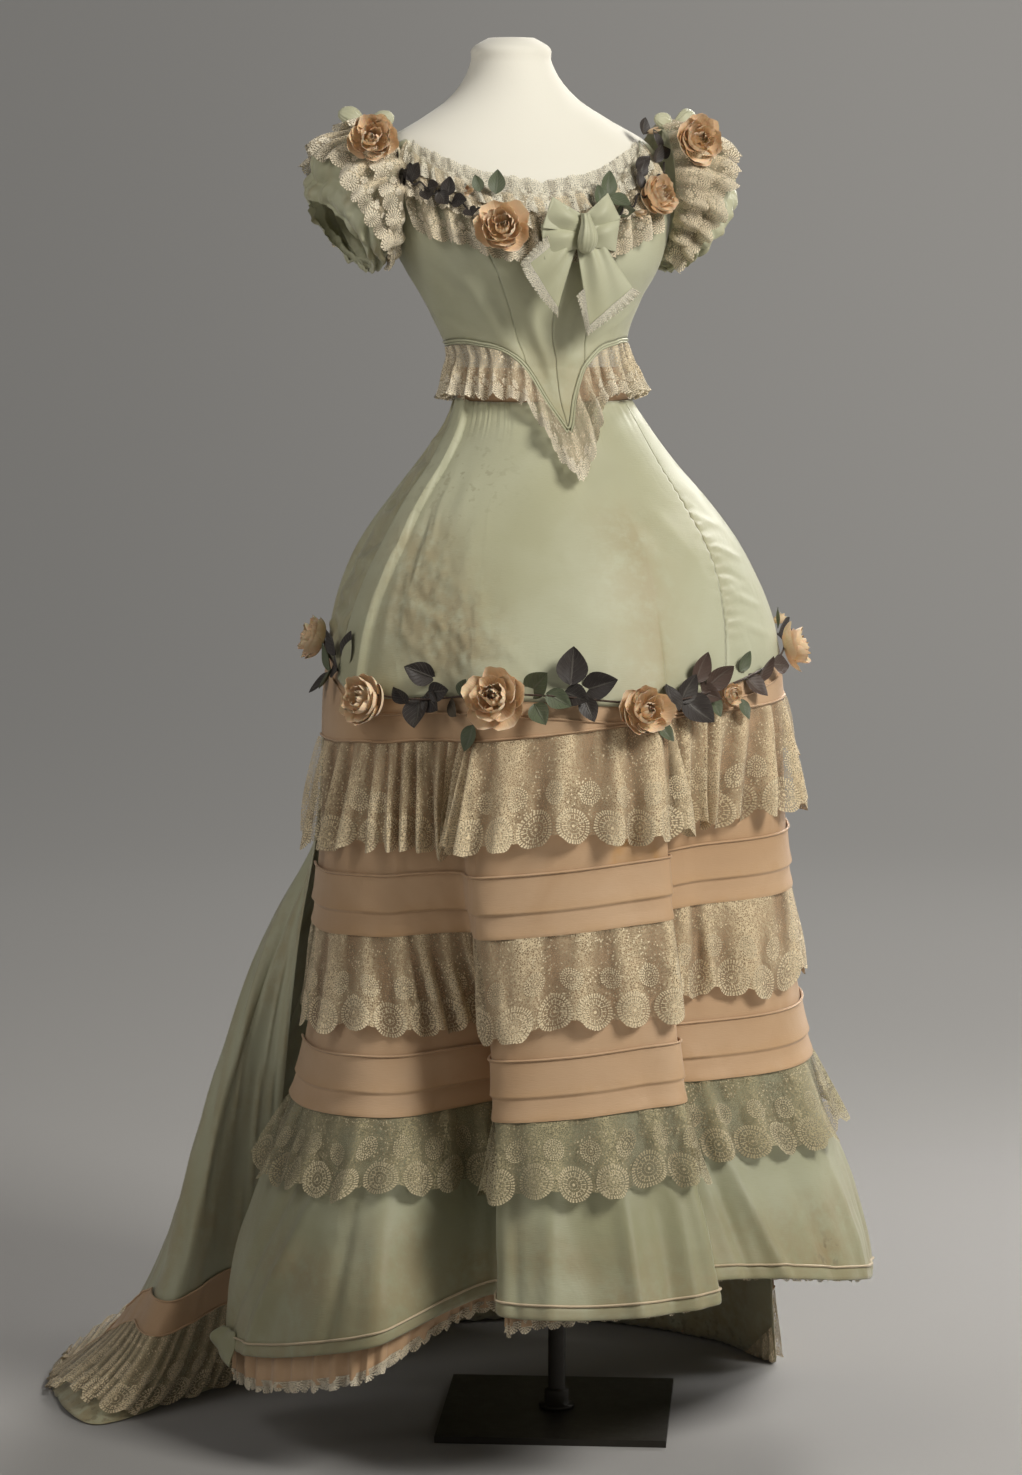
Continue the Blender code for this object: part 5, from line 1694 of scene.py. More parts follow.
    def hem_panel(self) -> None:
        """The green hem with its folds, the pale piping above its band, the band and a turned corner."""
        seam = 15.0
        grid = self.sheet(0, LAST_FOLD, self.tier(408.6), lambda at: self.hem(at) + seam, 60,
                          ([0, 1], [0, 0]))
        at, height = self.place(grid, 0, LAST_FOLD), grid.points[..., 2]
        grid = grid.moved(self.hem_away(grid))
        rust = spot(grid, front_point(np.array(14.6), np.array(226.0)), 18)
        # Painted shade: the hem darkens towards its foot; the strip at the wearer's left, the rust and the
        # uneven patches are its own wear.
        low = step(330 - height, 0, 120)
        grid.masks = {
            "worn": np.clip(0.45 * low + 0.6 * np.exp(-((at - 16.75) / 0.22) ** 2) + rust
                            + 0.35 * value_noise(at * 1.7, height / 45, 17), 0, 1),
            "stain": np.clip(rust + 0.9 * spot(grid, front_point(np.array(16.9), np.array(170.0)), 20), 0,
                             1),
            "pucker": 0.2 + 0 * at,
        }
        grid = grid.measured()
        made = make_object("hem_panel_silk", [grid], self.green, 0, ["hem_panel"])
        declare_sheet([grid], Held.HUNG)
        plain = ([0, 1], [0, 0])
        band = self.sheet(0, LAST_FOLD, lambda at: self.hem(at) + seam - 0.4, self.hem, 12, plain)
        band = band.moved(self.hem_away(band)
                          + np.interp(np.linspace(0, 1, 12), [0, 0.3, 0.8, 1], [0, 0.9, 0.9, -0.4]))
        band.masks = {"worn": 0.5 + 0 * band.points[..., 0]}
        corner = self.corner()
        made = make_object("hem_band_silk", [band.measured(), corner], self.green, 1.2, ["hem_band"])
        declare_sheet([band, corner], Held.STRETCHED)
        cords = [self.line(lambda at: self.hem(at) + seam, 1.4, 1.4, self.hem_away)]
        make_object("hem_piping_cord", cords, self.narrow_silk, 0, ["hem_piping"])

    def corner(self) -> Grid:
        """The corner of the hem at the wearer's right, which is turned back on itself.

        Returns:
            The corner with its cloth map.
        """
        along_hem = np.linspace(0, 1, 24)[:, None]
        out = np.linspace(0, 1, 16)[None]
        base = Grid(front_point(0.02 + 0.45 * along_hem + 0 * out,
                                self.hem(0.45 * along_hem) + 22 - 26 * out
                                - 14 * out * along_hem))
        lift = 3 + 15 * np.sin(np.pi * out * 0.8) * (1 - along_hem) + 2 * np.sin(5 * out + 3 * along_hem)
        return base.moved(self.hem_away(base) + lift).measured()

    def dust_ruffle(self) -> None:
        """The pleated peach ruffle inside the hem, with a narrow lace edge below it."""
        def shows(at: Array) -> Array:
            """Millimetres of it that hang below the hem."""
            return np.interp(at, (0, 3, 5, 7.6, 8.2, 9, LAST_FOLD),
                             (36.0, 31.0, 15.0, 17.0, 8.0, -6.0, -6.0))

        silk = ruffle(front_point, 0, LAST_FOLD, lambda at: self.hem(at) + 44,
                      lambda at: self.hem(at) - shows(at),
                      900, 9, folds_of(110, 111, 0.5, 1.0), (-9.0, -13.0), (0.4, 3.4), fine=1.5)
        edge = ruffle(front_point, 0, LAST_FOLD, lambda at: self.hem(at) - shows(at) + 7,
                      lambda at: self.hem(at) - shows(at) - 7 + 2 * value_noise(at * 9, 0 * at, 6), 900, 6,
                      folds_of(110, 111, 0.5, 1.0), (-11.5, -12.2), (1.6, 2.4), fine=2.5)
        made = make_object("dust_ruffle_silk", [silk], self.peach, 0, ["dust_ruffle"])
        declare_sheet([silk], Held.GATHERED)
        made = make_object("dust_ruffle_edge", [edge], self.narrow, 0, [])
        declare_sheet([edge], Held.GATHERED)

    def waistband(self) -> None:
        """The peach band round the waist, with soft horizontal creases."""
        angle = np.linspace(0, 360, 181)[:-1, None]
        height = np.linspace(1200, 1163, 12)[None]
        grid = Grid(ring_point(FORM, angle, height, 2.1), ring=True)
        grid = grid.moved(0.4 * np.sin(height / 3.1) + 0 * angle)
        made = make_object("waistband_silk", [grid], self.peach, 0.9, ["waistband"])
        declare_sheet([grid], Held.STRETCHED)

    def build(self) -> None:
        """Makes the skirt from the waist down."""
        self.waistband()
        self.apron()
        self.peach_skirt()
        self.flounces()
        self.hem_panel()
        self.dust_ruffle()


@dataclass
class Train:
    """Three breadths that fall from the waist to the floor and trail, with a band and lace.

    Args:
        sage: The green silk.
        peach: The peach silk of its band.
        lace: The lace round its hem.
        floor: Millimetres that it lies above the floor.
        leaves: Height where it leaves the skirt.
        waist: Height of its top.
        lace_width: Depth of the lace.
        band_width: Depth of the band.
    """

    sage: bpy.types.Material
    peach: bpy.types.Material
    lace: bpy.types.Material
    floor: float = 2.4
    leaves: float = 650.0
    waist: float = 1162.6
    lace_width: float = 130.0
    band_width: float = 42.0

    def lines(self, at: Array) -> Array:
        """The train's meridians.

        Each follows the skirt's section from the waist to where it leaves it, then spreads towards
        its place on the floor, then lies along the floor to its tail.

        Args:
            at: Fold lines' numbers.

        Returns:
            Points by fold line, then down the line.
        """
        angle, flute = along(TRAIN, "hip_angle", at)[:, None], along(TRAIN, "flute", at)[:, None]
        floor = np.stack([along(TRAIN, "floor_x", at), along(TRAIN, "floor_y", at)], -1)[:, None]
        tail = np.stack([along(TRAIN, "tail_x", at), along(TRAIN, "tail_y", at)], -1)[:, None]
        height = np.linspace(self.waist, self.leaves, 40)[None]
        upper = ring_point(SKIRT, angle, height, flute * (self.waist - height) / (self.waist - self.leaves))
        fallen = np.linspace(0, 1, 61)[None, 1:, None]
        spread = 0.75 * fallen ** 0.6 + 0.25 * fallen ** 10
        place = upper[:, -1:, :2] + spread * (floor - upper[:, -1:, :2])
        level = self.leaves * (1 - fallen) + self.floor * fallen + 0 * place[..., :1]
        middle = np.concatenate([place, level], -1)
        trailed = np.linspace(0, 1, 21)[None, 1:, None]
        lower = np.concatenate([floor + trailed * (tail - floor),
                                self.floor + 0 * trailed + 0 * place[:, :1, :1]], -1)
        lines = np.concatenate([upper, middle, lower], axis=1)
        for _ in range(36):
            soft = 0.5 * lines[:, 1:-1] + 0.25 * (lines[:, :-2] + lines[:, 2:])
            near = np.exp(-((lines[:, 1:-1, 2:] - self.leaves) / 80) ** 2)
            lines[:, 1:-1] += near * (soft - lines[:, 1:-1])
        return lines

    def point(self, at: Array, up: Array) -> Array:
        """Points at fold lines' numbers, so many millimetres up from the hem along the cloth.

        Args:
            at: Fold lines' numbers.
            up: Millimetres up from the hem.

        Returns:
            Points, with a last axis of three.
        """
        lines = self.lines(at)
        run = np.linalg.norm(np.diff(lines, axis=1), axis=-1)
        length = np.concatenate([np.zeros((len(at), 1)), np.cumsum(run, axis=1)], axis=1)
        wanted = length[:, -1:] - up
        i = (length[:, None, 1:] < wanted[..., None]).sum(axis=-1).clip(0, lines.shape[1] - 2)
        start, end = np.take_along_axis(length, i, 1), np.take_along_axis(length, i + 1, 1)
        share = ((wanted - start) / np.maximum(end - start, 1e-6))[..., None]
        low = np.take_along_axis(lines, i[..., None], 1)
        high = np.take_along_axis(lines, i[..., None] + 1, 1)
        return low + share * (high - low)

    def length(self, at: Array) -> Array:
        """Length of the cloth along each fold line, in a column."""
        return np.linalg.norm(np.diff(self.lines(at), axis=1), axis=-1).sum(axis=1)[:, None]

    def surface(self, first: float, last: float, columns: int, up: Callable[[Array], Array], off: float,
                seed: int) -> Grid:
        """A stretch of the train, with gathers at the waist and long soft folds further down.

        Args:
            first: Its first fold line.
            last: Its last fold line.
            columns: Points across it.
            up: Millimetres up from the hem, by fold line and row, from each line's length.
            off: Millimetres off the plain surface.
            seed: Sets its smaller unevenness.

        Returns:
            The surface with its cloth map.
        """
        at = np.linspace(first, last, columns)
        rise = up(self.length(at))
        grid = Grid(self.point(at, rise))
        height = grid.points[..., 2]
        wide = at[:, None] + 0 * rise
        gathers = np.sin(wide * 21 + 1.5 * np.sin(wide * 5)) * np.exp(-((self.waist - height) / 120) ** 2)
        long_folds = value_noise(wide * 2.3 + height / 900, height / 520 + 3, 81)
        long_folds = long_folds * step(1150 - height, 0, 200) * step(height, 40, 330)
        small = value_noise(wide * 7.0 + height / 90, height / 70, 82) * step(height, 8, 60)
        lying = value_noise(grid.points[..., 0] / 60, grid.points[..., 1] / 85,
                            83 + seed) * step(90 - height, 0, 60)
        edge = np.minimum(wide - 0.0, 11.0 - wide)
        away = off + step(edge, 0, 0.5) * (3.4 * gathers + 15.0 * long_folds
                                           + 1.6 * small) + 3.0 * np.abs(lying)
        moved = grid.moved(away)
        moved.points[..., 2] = np.maximum(moved.points[..., 2], 1.4)
        moved.masks = {"worn": np.clip(0.3 + 0.5 * small + 0.7 * step(150 - height, 0, 100), 0, 1),
                       "pucker": 0.15 + 0 * rise, "stain": 0.6 * step(60 - height, 0, 50)}
        return moved

    def build(self) -> None:
        """Makes the breadths, the band with its piping, and the lace."""
        trim = self.lace_width + self.band_width
        for name, first, last in (("train_left", 0.0, 3.0), ("train_centre", 3.004, 6.0),
                                  ("train_right", 6.004, 11.0)):
            columns = int((last - first) * 24) + 1
            rows = np.concatenate([np.linspace(1, 0, 80)[:-1] ** 1.1])[None]
            low = np.linspace(1, 0, 18)[None]
            grid = self.surface(first, last, columns, lambda length: np.concatenate(
                [trim + rows * (length - trim), low * trim + 0 * length], axis=1), 0.0, 0).measured()
            made = make_object(f"{name}_silk", [grid], self.sage, 0.9, [name])
            declare_sheet([grid], Held.HUNG)
        band = self.surface(0, 11, 320, lambda length: self.lace_width + np.linspace(
            self.band_width, 0, 12)[None] + 0 * length, 2.4, 0)
        band.masks = {}
        cords = []
        for row in (0, -1):
            centres = band.points[:, row] + 0.8 * band.normals()[:, row]
            cords.append(cord(centres, centres + band.normals()[:, row], 1.3))
        band = band.measured()
        made = make_object("train_band_silk", [band, *cords], self.peach, 0, ["train_band"])
        declare_sheet([band, *cords], Held.STRETCHED)
        wide = np.linspace(0, 11, 800)[:, None]
        short = 6 + 14 * np.exp(-((wide - 8.8) / 1.1) ** 2) + 4 * value_noise(wide * 2.0, 0 * wide, 122)
        fallen = np.linspace(0, 1, 18)[None]
        lace = self.surface(0, 11, 800,
                            lambda length: self.lace_width - 1 + fallen * (short + 1 - self.lace_width)
                            + 0 * length, 2.2, 0)
        wave = smooth(np.linspace(0, 1, 800), *folds_of(110, 121, 0.3, 1.0))[:, None]
        # The folds' height, which the lace finish turns into painted shade in the troughs.
        lace = Grid(lace.points, masks={"crest": 0.5 + 0.5 * wave + 0 * fallen})
        lace = lace.moved(1.5 + fallen * (5.0 + 4.0 * wave))
        lace.points[..., 2] = np.maximum(lace.points[..., 2], 2.6)
        lace = lace.measured(12)
        tuft = self.surface(0.0, 0.8, 120,
                            lambda length: 78 - 74 * np.linspace(0, 1, 16)[None] + 0 * length,
                            -5.0, 0)
        tuft = Grid(tuft.points[::-1]).moved(4 * smooth(np.linspace(0, 1, 120),
                                                        *folds_of(14, 9, 0.4, 1.0))[:, None]
                                             * np.linspace(0.2, 1, 16)[None])
        tuft.points[..., 2] = np.maximum(tuft.points[..., 2], 2.6)
        # A fixed fold height, which sets the painted shade that the lace finish gives the tuft.
        tuft.masks = {"crest": 0.7 + 0 * tuft.points[..., 0]}
        tuft = tuft.measured(8)
        made = make_object("train_lace_fall", [lace, tuft], self.lace, 0, ["train_lace"])
        declare_sheet([lace, tuft], Held.GATHERED)


@dataclass
class Bloom:
    """A cloth rose or bud about an axis.

    A petal's profile leans from the axis by an angle that starts at spread, closes to cup half way
    and opens to curl at the lip; its width follows the root of one less a high power of the way
    along, so that the lip is round, and the lip waves.

    Args:
        centre: Its middle, in millimetres.
        out: The direction that it faces.
        radius: Its radius in millimetres.
        seed: Sets its petals.
        bud: Whether it is a closed bud.
    """

    centre: Array
    out: Array
    radius: float
    seed: int
    bud: bool = False

    def petal(self, turn: float, length: float, half: float, lean: tuple[float, float, float], lift: float,
              phase: float) -> Grid:
        """One petal.

        Args:
            turn: Its direction round the axis, in radians.
            length: Its length in millimetres.
            half: Half its width, as an angle in radians.
            lean: Angles from the axis at the foot, half way and at the lip, in degrees.
            lift: Millimetres that its foot stands up the axis.
            phase: Where its lip's waves start.

        Returns:
            The petal with its map and lip mask.
        """
        u = np.linspace(-1, 1, 13)[:, None]
        v = np.linspace(0, 1, 10)[None]
        angle = np.radians(smooth(v, np.array([0.0, 0.5, 1.0]), np.array(lean)))
        hop = length / 9
        round_lip = 1 - 0.3 * np.abs(u) ** 3.2 * v
        reach = (0.05 * self.radius + np.cumsum(np.sin(angle), axis=1) * hop) * round_lip
        rise = lift + np.cumsum(np.cos(angle), axis=1) * hop * round_lip
        theta = turn + u * half * (0.45 + 0.55 * step(v, 0, 0.55))
        wavy = v ** 4 * length * (0.05 * np.sin(4.0 * u + phase) + 0.04 * np.sin(11 * u + 2 * phase))
        reach = reach * (1 - 0.07 * u ** 2 * v) + 0.8 * wavy
        rise = rise - 0.06 * length * u ** 2 * v ** 2 + 0.8 * wavy
        out = self.out / np.linalg.norm(self.out)
        down = np.array([0.0, 0.0, -1.0]) + out * out[2]
        down = down / np.linalg.norm(down)
        across = np.cross(out, down)
        points = (self.centre + (reach * np.cos(theta))[..., None] * across
                  + (reach * np.sin(theta))[..., None] * down + rise[..., None] * out)
        # The lip share also sets the rose's painted shade, darker towards each petal's foot.
        lip = v ** 1.2 * (1 - 0.15 * np.abs(u))
        return Grid(points, np.stack([u + 0 * v, v + 0 * u], -1), {"lip": lip})

    def petals(self) -> list[Grid]:
        """All its petals, from the outside in.

        Returns:
            One grid for each petal.
        """
        rng = np.random.default_rng(self.seed)
        r = self.radius
        if self.bud:
            layers = ((4, 1.15, 0.95, (38, 10, 6), 0.0), (3, 1.2, 1.0, (22, 0, -10), 2.0))
        else:
            layers = ((5, 1.06, 0.98, (88, 64, 22), 0.0), (5, 1.02, 0.98, (78, 48, 8), 1.5),
                      (5, 0.95, 0.95, (64, 28, -8), 3.0), (4, 0.84, 1.0, (50, 12, -18), 4.0),
                      (4, 0.69, 1.05, (36, 0, -22), 5.0), (3, 0.53, 1.15, (20, -4, -22), 5.5))
        made = []
        for count, length, half, lean, lift in layers:
            start = rng.uniform(0, 6.3)
            for k in range(count):
                turn = start + (k + rng.uniform(-0.16, 0.16)) * 2 * math.pi / count
                tilt = rng.uniform(-9, 9)
                made.append(self.petal(turn, r * length * rng.uniform(0.9, 1.08), half,
                                       (lean[0] + tilt, lean[1] + tilt, lean[2] + 1.6 * tilt), lift,
                                       rng.uniform(0, 6.3)))
        return made


def leaf(base: Array, out: Array, turn: float, length: float, width: float, kind: float,
         lift: float) -> Grid:
    """A pointed leaf on a surface.

    Its half width is the sine of the way along, drawn to a tip; both sides fold up from the midrib
    and the tip rises.

    Args:
        base: Its middle.
        out: The surface's outward direction there.
        turn: Its direction on the surface, in degrees from straight down towards the wearer's left.
        length: Millimetres.
        width: Millimetres.
        kind: 0 dark, 0.5 brown, 1 green.
        lift: Degrees that it rises off the surface.

    Returns:
        The leaf.
    """
    out = out / np.linalg.norm(out)
    down = np.array([0.0, 0.0, -1.0]) + out * out[2]
    down = down / np.linalg.norm(down)
    side = np.cross(down, out)
    side = side * (1.0 if side[0] * -out[1] >= 0 else -1.0)
    a, rise = math.radians(turn), math.radians(lift)
    ahead = math.cos(a) * down + math.sin(a) * side
    forward = math.cos(rise) * ahead + math.sin(rise) * out
    up = math.cos(rise) * out - math.sin(rise) * ahead
    across = np.cross(up, forward)
    u = np.linspace(-1, 1, 9)[:, None]
    v = np.linspace(0, 1, 13)[None]
    half = 0.5 * width * np.sin(np.pi * v ** 0.82) ** 0.85 * (1 - 0.12 * v) + 0.15
    x = u * half
    arch = 0.1 * length * v ** 2 - 0.05 * length * np.sin(np.pi * v)
    z = 0.42 * np.abs(x) + arch + 0.3 * np.sin(7 * v + 5 * u)
    points = base + x[..., None] * across + ((v - 0.5) * length)[..., None] * forward + z[..., None] * up
    return Grid(points, np.stack([u + 0 * v, v + 0 * u], -1), {"kind": np.full((9, 13), kind)})


@dataclass
class Garlands:
    """The hip garland, the neck garlands and all their roses, buds, leaves and stems.

    Args:
        petal: The roses' cloth.
        leaves: The leaves' cloth.
        silk: The shoulder ribbons' silk.
        shoulder_shift: Millimetres from the top of a sleeve to its rose; across only on the right.
    """

    petal: bpy.types.Material
    leaves: bpy.types.Material
    silk: bpy.types.Material
    shoulder_shift: tuple[float, float, float] = (13.0, -26.0, -15.0)

    def hip_place(self, at: float, height: float, off: float) -> tuple[Array, Array]:
        """A point over the hip's edge and its outward direction.

        Args:
            at: The fold line's number.
            height: Millimetres above the floor.
            off: Millimetres off the skirt.

        Returns:
            The point and the direction.
        """
        a, h = np.array([[at - 0.05, at - 0.05],
                         [at + 0.05, at + 0.05]]), np.array([[height + 3, height - 3]] * 2)
        grid = Grid(front_point(a, h))
        out = grid.normals().mean(axis=(0, 1))
        return grid.points.mean(axis=(0, 1)) + off * out, out

    def neck_place(self, angle: float, height: float, off: float) -> tuple[Array, Array]:
        """A point over the neckline and its outward direction.

        Args:
            angle: Degrees from the bodice's centre front.
            height: Millimetres above the floor.
            off: Millimetres off the bodice.

        Returns:
            The point and the direction.
        """
        a, h = np.array([[angle - 1.0] * 2, [angle + 1.0] * 2]), np.array([[height + 3, height - 3]] * 2)
        grid = Grid(bodice_point(a, h))
        out = grid.normals().mean(axis=(0, 1))
        return grid.points.mean(axis=(0, 1)) + off * out, out

    def hip_roses(self) -> Rows:
        """Roses and buds of the hip garland."""
        return table(
            "at above radius bud",
            (0.15, 3, 27, 0), (2.62, -2, 31, 0), (8.25, -2, 33, 0), (10.35, -9, 30, 0), (13.95, -8, 15, 0),
            (15.7, 2, 27, 0), (16.7, 16, 13, 1),
        )

    def hip_leaves(self) -> Rows:
        """Leaves of the hip garland: place, height above the edge, direction, size and kind."""
        return table(
            "at above turn length width kind",
            (1.55, 41, 160, 42, 34, 0), (0.7, 4, 200, 34, 24, 0.9), (0.95, -12, 20, 30, 20, 0.8),
            (0.4, -36, -20, 34, 24, 0), (1.2, 8, 80, 34, 26, 0), (0.9, 26, 210, 32, 24, 0),
            (4.9, 26, 250, 36, 28, 0), (4.8, -16, 15, 42, 34, 0), (5.8, 6, 100, 30, 23, 0.1),
            (6.5, -12, 60, 30, 20, 0.7), (5.4, -6, 60, 32, 26, 0), (4.2, 4, 200, 26, 20, 0.1),
            (7.5, -42, -10, 30, 22, 1), (7.1, 10, 150, 24, 18, 0.9), (8.8, -14, 30, 32, 24, 1),
            (8.78, 18, 130, 38, 30, 0.95), (9.05, 2, 60, 32, 24, 0.9), (9.25, 36, 175, 42, 36, 0),
            (9.65, 20, 100, 42, 32, 0), (9.3, 6, 60, 36, 28, 0.1), (9.45, -6, 20, 30, 22, 0.2),
            (10.9, -32, 30, 26, 17, 1), (11.1, 2, -20, 38, 28, 0), (12.85, -16, 40, 44, 36, 0),
            (12.6, 8, 150, 36, 26, 0.1), (12.95, 27, 160, 36, 26, 0.5), (13.6, 14, 130, 38, 27, 0.5),
            (13.3, -2, 60, 32, 25, 0.45), (13.6, -16, 20, 26, 18, 0.9), (14.25, -28, 10, 25, 16, 1),
            (14.5, -10, 30, 34, 25, 0.4), (14.65, 4, 170, 34, 25, 0.45), (14.95, 0, 80, 32, 23, 0.4),
            (14.3, 21, 150, 25, 18, 0.9), (16.1, 20, 120, 34, 20, 0.1), (16.35, 8, 90, 34, 18, 0),
            (16.3, 26, 160, 25, 16, 1), (16.9, -12, 30, 30, 22, 0.1),
        )

    def stem(self, surface: Surface, first: float, last: float, height: Callable[[Array], Array],
             off: float) -> Grid:
        """A thin wired stem that wanders along a line on a surface.

        Args:
            surface: The function that places the line.
            first: The line's first place.
            last: Its last place.
            height: Its height at each place.
            off: Millimetres off the surface.

        Returns:
            The stem.
        """
        at = np.linspace(first, last, 160)
        level = height(at) + 4 * np.sin(at * 0.9)
        grid = Grid(surface(np.stack([at, at], 1), np.stack([level + 2, level - 2], 1)))
        out = grid.normals()[:, 0]
        centres = grid.points.mean(axis=1) + off * out
        return cord(centres, centres + out, 1.2, sides=6)

    def hips(self) -> None:
        """The garland along the apron's edge."""
        rows = self.hip_leaves()
        made = [self.stem(front_point, 0.1, 16.8, lambda at: along(FOLDS, "edge", at) + 2, 9.0)]
        made[0].masks = {"kind": np.full(made[0].points.shape[:2], 0.45)}
        for i in range(len(rows["at"])):
            base, out = self.hip_place(rows["at"][i],
                                       float(along(FOLDS, "edge", rows["at"][i])) + rows["above"][i],
                                       8.0 + 3 * (i % 3))
            made.append(leaf(base, out, rows["turn"][i], rows["length"][i], rows["width"][i],
                             rows["kind"][i], 8 + 9 * (i % 4)))
        make_object("hip_garland_leaves", made, self.leaves, 0, ["hip_garland"])
        roses = self.hip_roses()
        for i in range(len(roses["at"])):
            height = float(along(FOLDS, "edge", roses["at"][i])) + roses["above"][i]
            centre, out = self.hip_place(roses["at"][i], height, 9.0)
            bloom = Bloom(centre, out + np.array([0, 0, 0.12]), roses["radius"][i], 200 + i,
                          bool(roses["bud"][i]))
            make_object(f"hip_rose_{i + 1}_petals", bloom.petals(), self.petal, 0, [f"hip_rose_{i + 1}"])

    def necks(self) -> None:
        """The garlands along the neckline with a rose and a bud each, and those on the shoulders."""
        def rim(angle: Array) -> Array:
            """Height of the stem below the neckline."""
            return smooth(np.abs(angle), NECKLINE["angle"], NECKLINE["height"]) - 34

        right = table(
            "angle above turn length width kind",
            (-60, 16, 170, 22, 18, 0), (-58, 8, 60, 24, 20, 0), (-57, -16, 20, 24, 20, 0),
            (-54, -4, 120, 24, 20, 0.1),
            (-50, 8, 190, 22, 18, 0), (-48, 12, 150, 22, 18, 0), (-45, -6, 20, 24, 20, 0),
            (-42, 4, 90, 22, 18, 0.1),
            (-39, -4, 40, 22, 18, 0), (-36, 14, 170, 22, 18, 0), (-33, 2, 80, 22, 18, 0.1),
            (-30, -6, 30, 20, 16, 0),
            (-25, 30, 200, 20, 14, 0.9), (-18, 36, 175, 27, 20, 1))
        left = table(
            "angle above turn length width kind",
            (19, 20, 190, 28, 20, 0.9), (23, 30, 170, 30, 21, 1), (26, 8, 40, 28, 21, 0.95),
            (29, -4, 80, 22, 16, 0.8),
            (38, 16, 180, 20, 15, 0.2), (40, 24, 150, 22, 16, 0), (43, 28, 120, 22, 16, 0),
            (54, 18, 160, 22, 17, 0.1),
            (57, 26, 190, 24, 18, 0), (60, 12, 100, 22, 17, 0.2), (58, 38, 150, 22, 16, 0))
        for label, rows, first, last in (("right", right, -60.0, -26.0), ("left", left, 20.0, 58.0)):
            made = [self.stem(bodice_point, first, last, rim, 15.0)]
            made[0].masks = {"kind": np.full(made[0].points.shape[:2], 0.2)}
            for i in range(len(rows["angle"])):
                base, out = self.neck_place(rows["angle"][i],
                                            float(rim(rows["angle"][i])) + rows["above"][i],
                                            16.0 + 2 * (i % 3))
                made.append(leaf(base, out, rows["turn"][i], rows["length"][i], rows["width"][i],
                                 rows["kind"][i], 10 + 8 * (i % 4)))
            make_object(f"neck_garland_{label}_leaves", made, self.leaves, 0, [f"neck_garland_{label}"])
        spots = table("angle above radius", (-20, -12, 29), (45, -12, 25))
        buds = table("angle above radius", (-30, 18, 10), (33, -10, 11), (58, 34, 10))
        for i in range(2):
            height = float(rim(spots["angle"][i])) + spots["above"][i]
            centre, out = self.neck_place(spots["angle"][i], height, 13.0)
            grids = Bloom(centre, out + np.array([0, -0.2, 0.1]), spots["radius"][i], 220 + i).petals()
            for j in ([0] if i == 0 else [1, 2]):
                place, away = self.neck_place(buds["angle"][j],
                                              float(rim(buds["angle"][j])) + buds["above"][j], 15.0)
                grids += Bloom(place, away + np.array([0.3, 0, -0.4]), buds["radius"][j], 230 + j,
                               True).petals()
            make_object(f"neck_rose_{i + 1}_petals", grids, self.petal, 0, [f"neck_rose_{i + 1}"])
        self.shoulders()

    def shoulders(self) -> None:
        """A rose and a looped ribbon on top of each sleeve."""
        for side, label in ((1, "left"), (-1, "right")):
            step_turn = side * 2 * math.pi / 14
            spot_at = sleeve_point(side, np.array(step_turn), np.array(1.0), np.array(5.0))
            spot_at = spot_at + np.array([min(side, 0), 1, 1]) * self.shoulder_shift
            inner = sleeve_point(side, np.array(step_turn), np.array(1.0), np.array(-40.0))
            out = spot_at - inner + np.array([0.0, -42.0, -8.0])
            grids = Bloom(spot_at, out, 29.0, 240 + side).petals()
            make_object(f"shoulder_rose_{label}_petals", grids, self.petal, 0, [f"shoulder_rose_{label}"])
            start = sleeve_point(side, np.array(-step_turn * 0.6), np.array(0.9), np.array(4.0))
            start = start + np.array([0.0, -16.0, -4.0])
            loops = [puff(start, np.array([-side * 0.7, -0.5, 0.35]), 34, 20, 8, 5),
                     puff(start, np.array([side * 0.7, 0.1, 0.4]), 36, 22, 8, 6),
                     puff(start, np.array([-side * 0.5, -0.9, -0.5]), 38, 20, 8, 7)]
            make_object(f"shoulder_ribbon_{label}_loops", loops, self.silk, 0.5,
                        [f"shoulder_ribbon_{label}"])

    def build(self) -> None:
        """Makes the garlands and their roses."""
        self.hips()
        self.necks()


def puff(start: Array, ahead: Array, length: float, width: float, depth: float, seed: int,
         out: Optional[Array] = None) -> Grid:
    """A ribbon loop pressed flat: a tube of ovals that swells and closes again.

    It widens from a third at the knot and closes in a round end, and its surface has lengthwise
    pleats that are deepest where it leaves the knot.

    Args:
        start: Where it leaves the knot.
        ahead: Its direction.
        length: Millimetres.
        width: Millimetres at its widest.
        depth: Millimetres from front to back.
        seed: Sets its pleats.
        out: The direction it faces, or none for the side that faces front.

    Returns:
        The loop's surface, with its cloth map.
    """
    ahead = ahead / np.linalg.norm(ahead)
    out = np.array([0.0, -1.0, 0.25]) if out is None else out
    out = out - ahead * (out @ ahead)
    out = out / np.linalg.norm(out)
    side = np.cross(ahead, out)
    turn = np.linspace(0, 2 * math.pi, 49)[:, None]
    t = np.linspace(0.0, 1, 24)[None]
    swell = (0.36 + 0.64 * step(t, 0, 0.75)) * np.sqrt(1.0001 - t ** 5)
    pleats = 1 + 0.16 * np.sin(7 * turn + seed) * (1.1 - t) + 0.07 * np.sin(13 * turn + 2 * seed)
    x = 0.5 * width * swell * np.cos(turn) * pleats
    z = 0.5 * depth * (swell ** 0.6) * np.sin(turn) * pleats + 0.18 * length * np.sin(np.pi * t)
    points = start + x[..., None] * side + (t * length)[..., None] * ahead + z[..., None] * out
    return Grid(points[::-1]).measured()


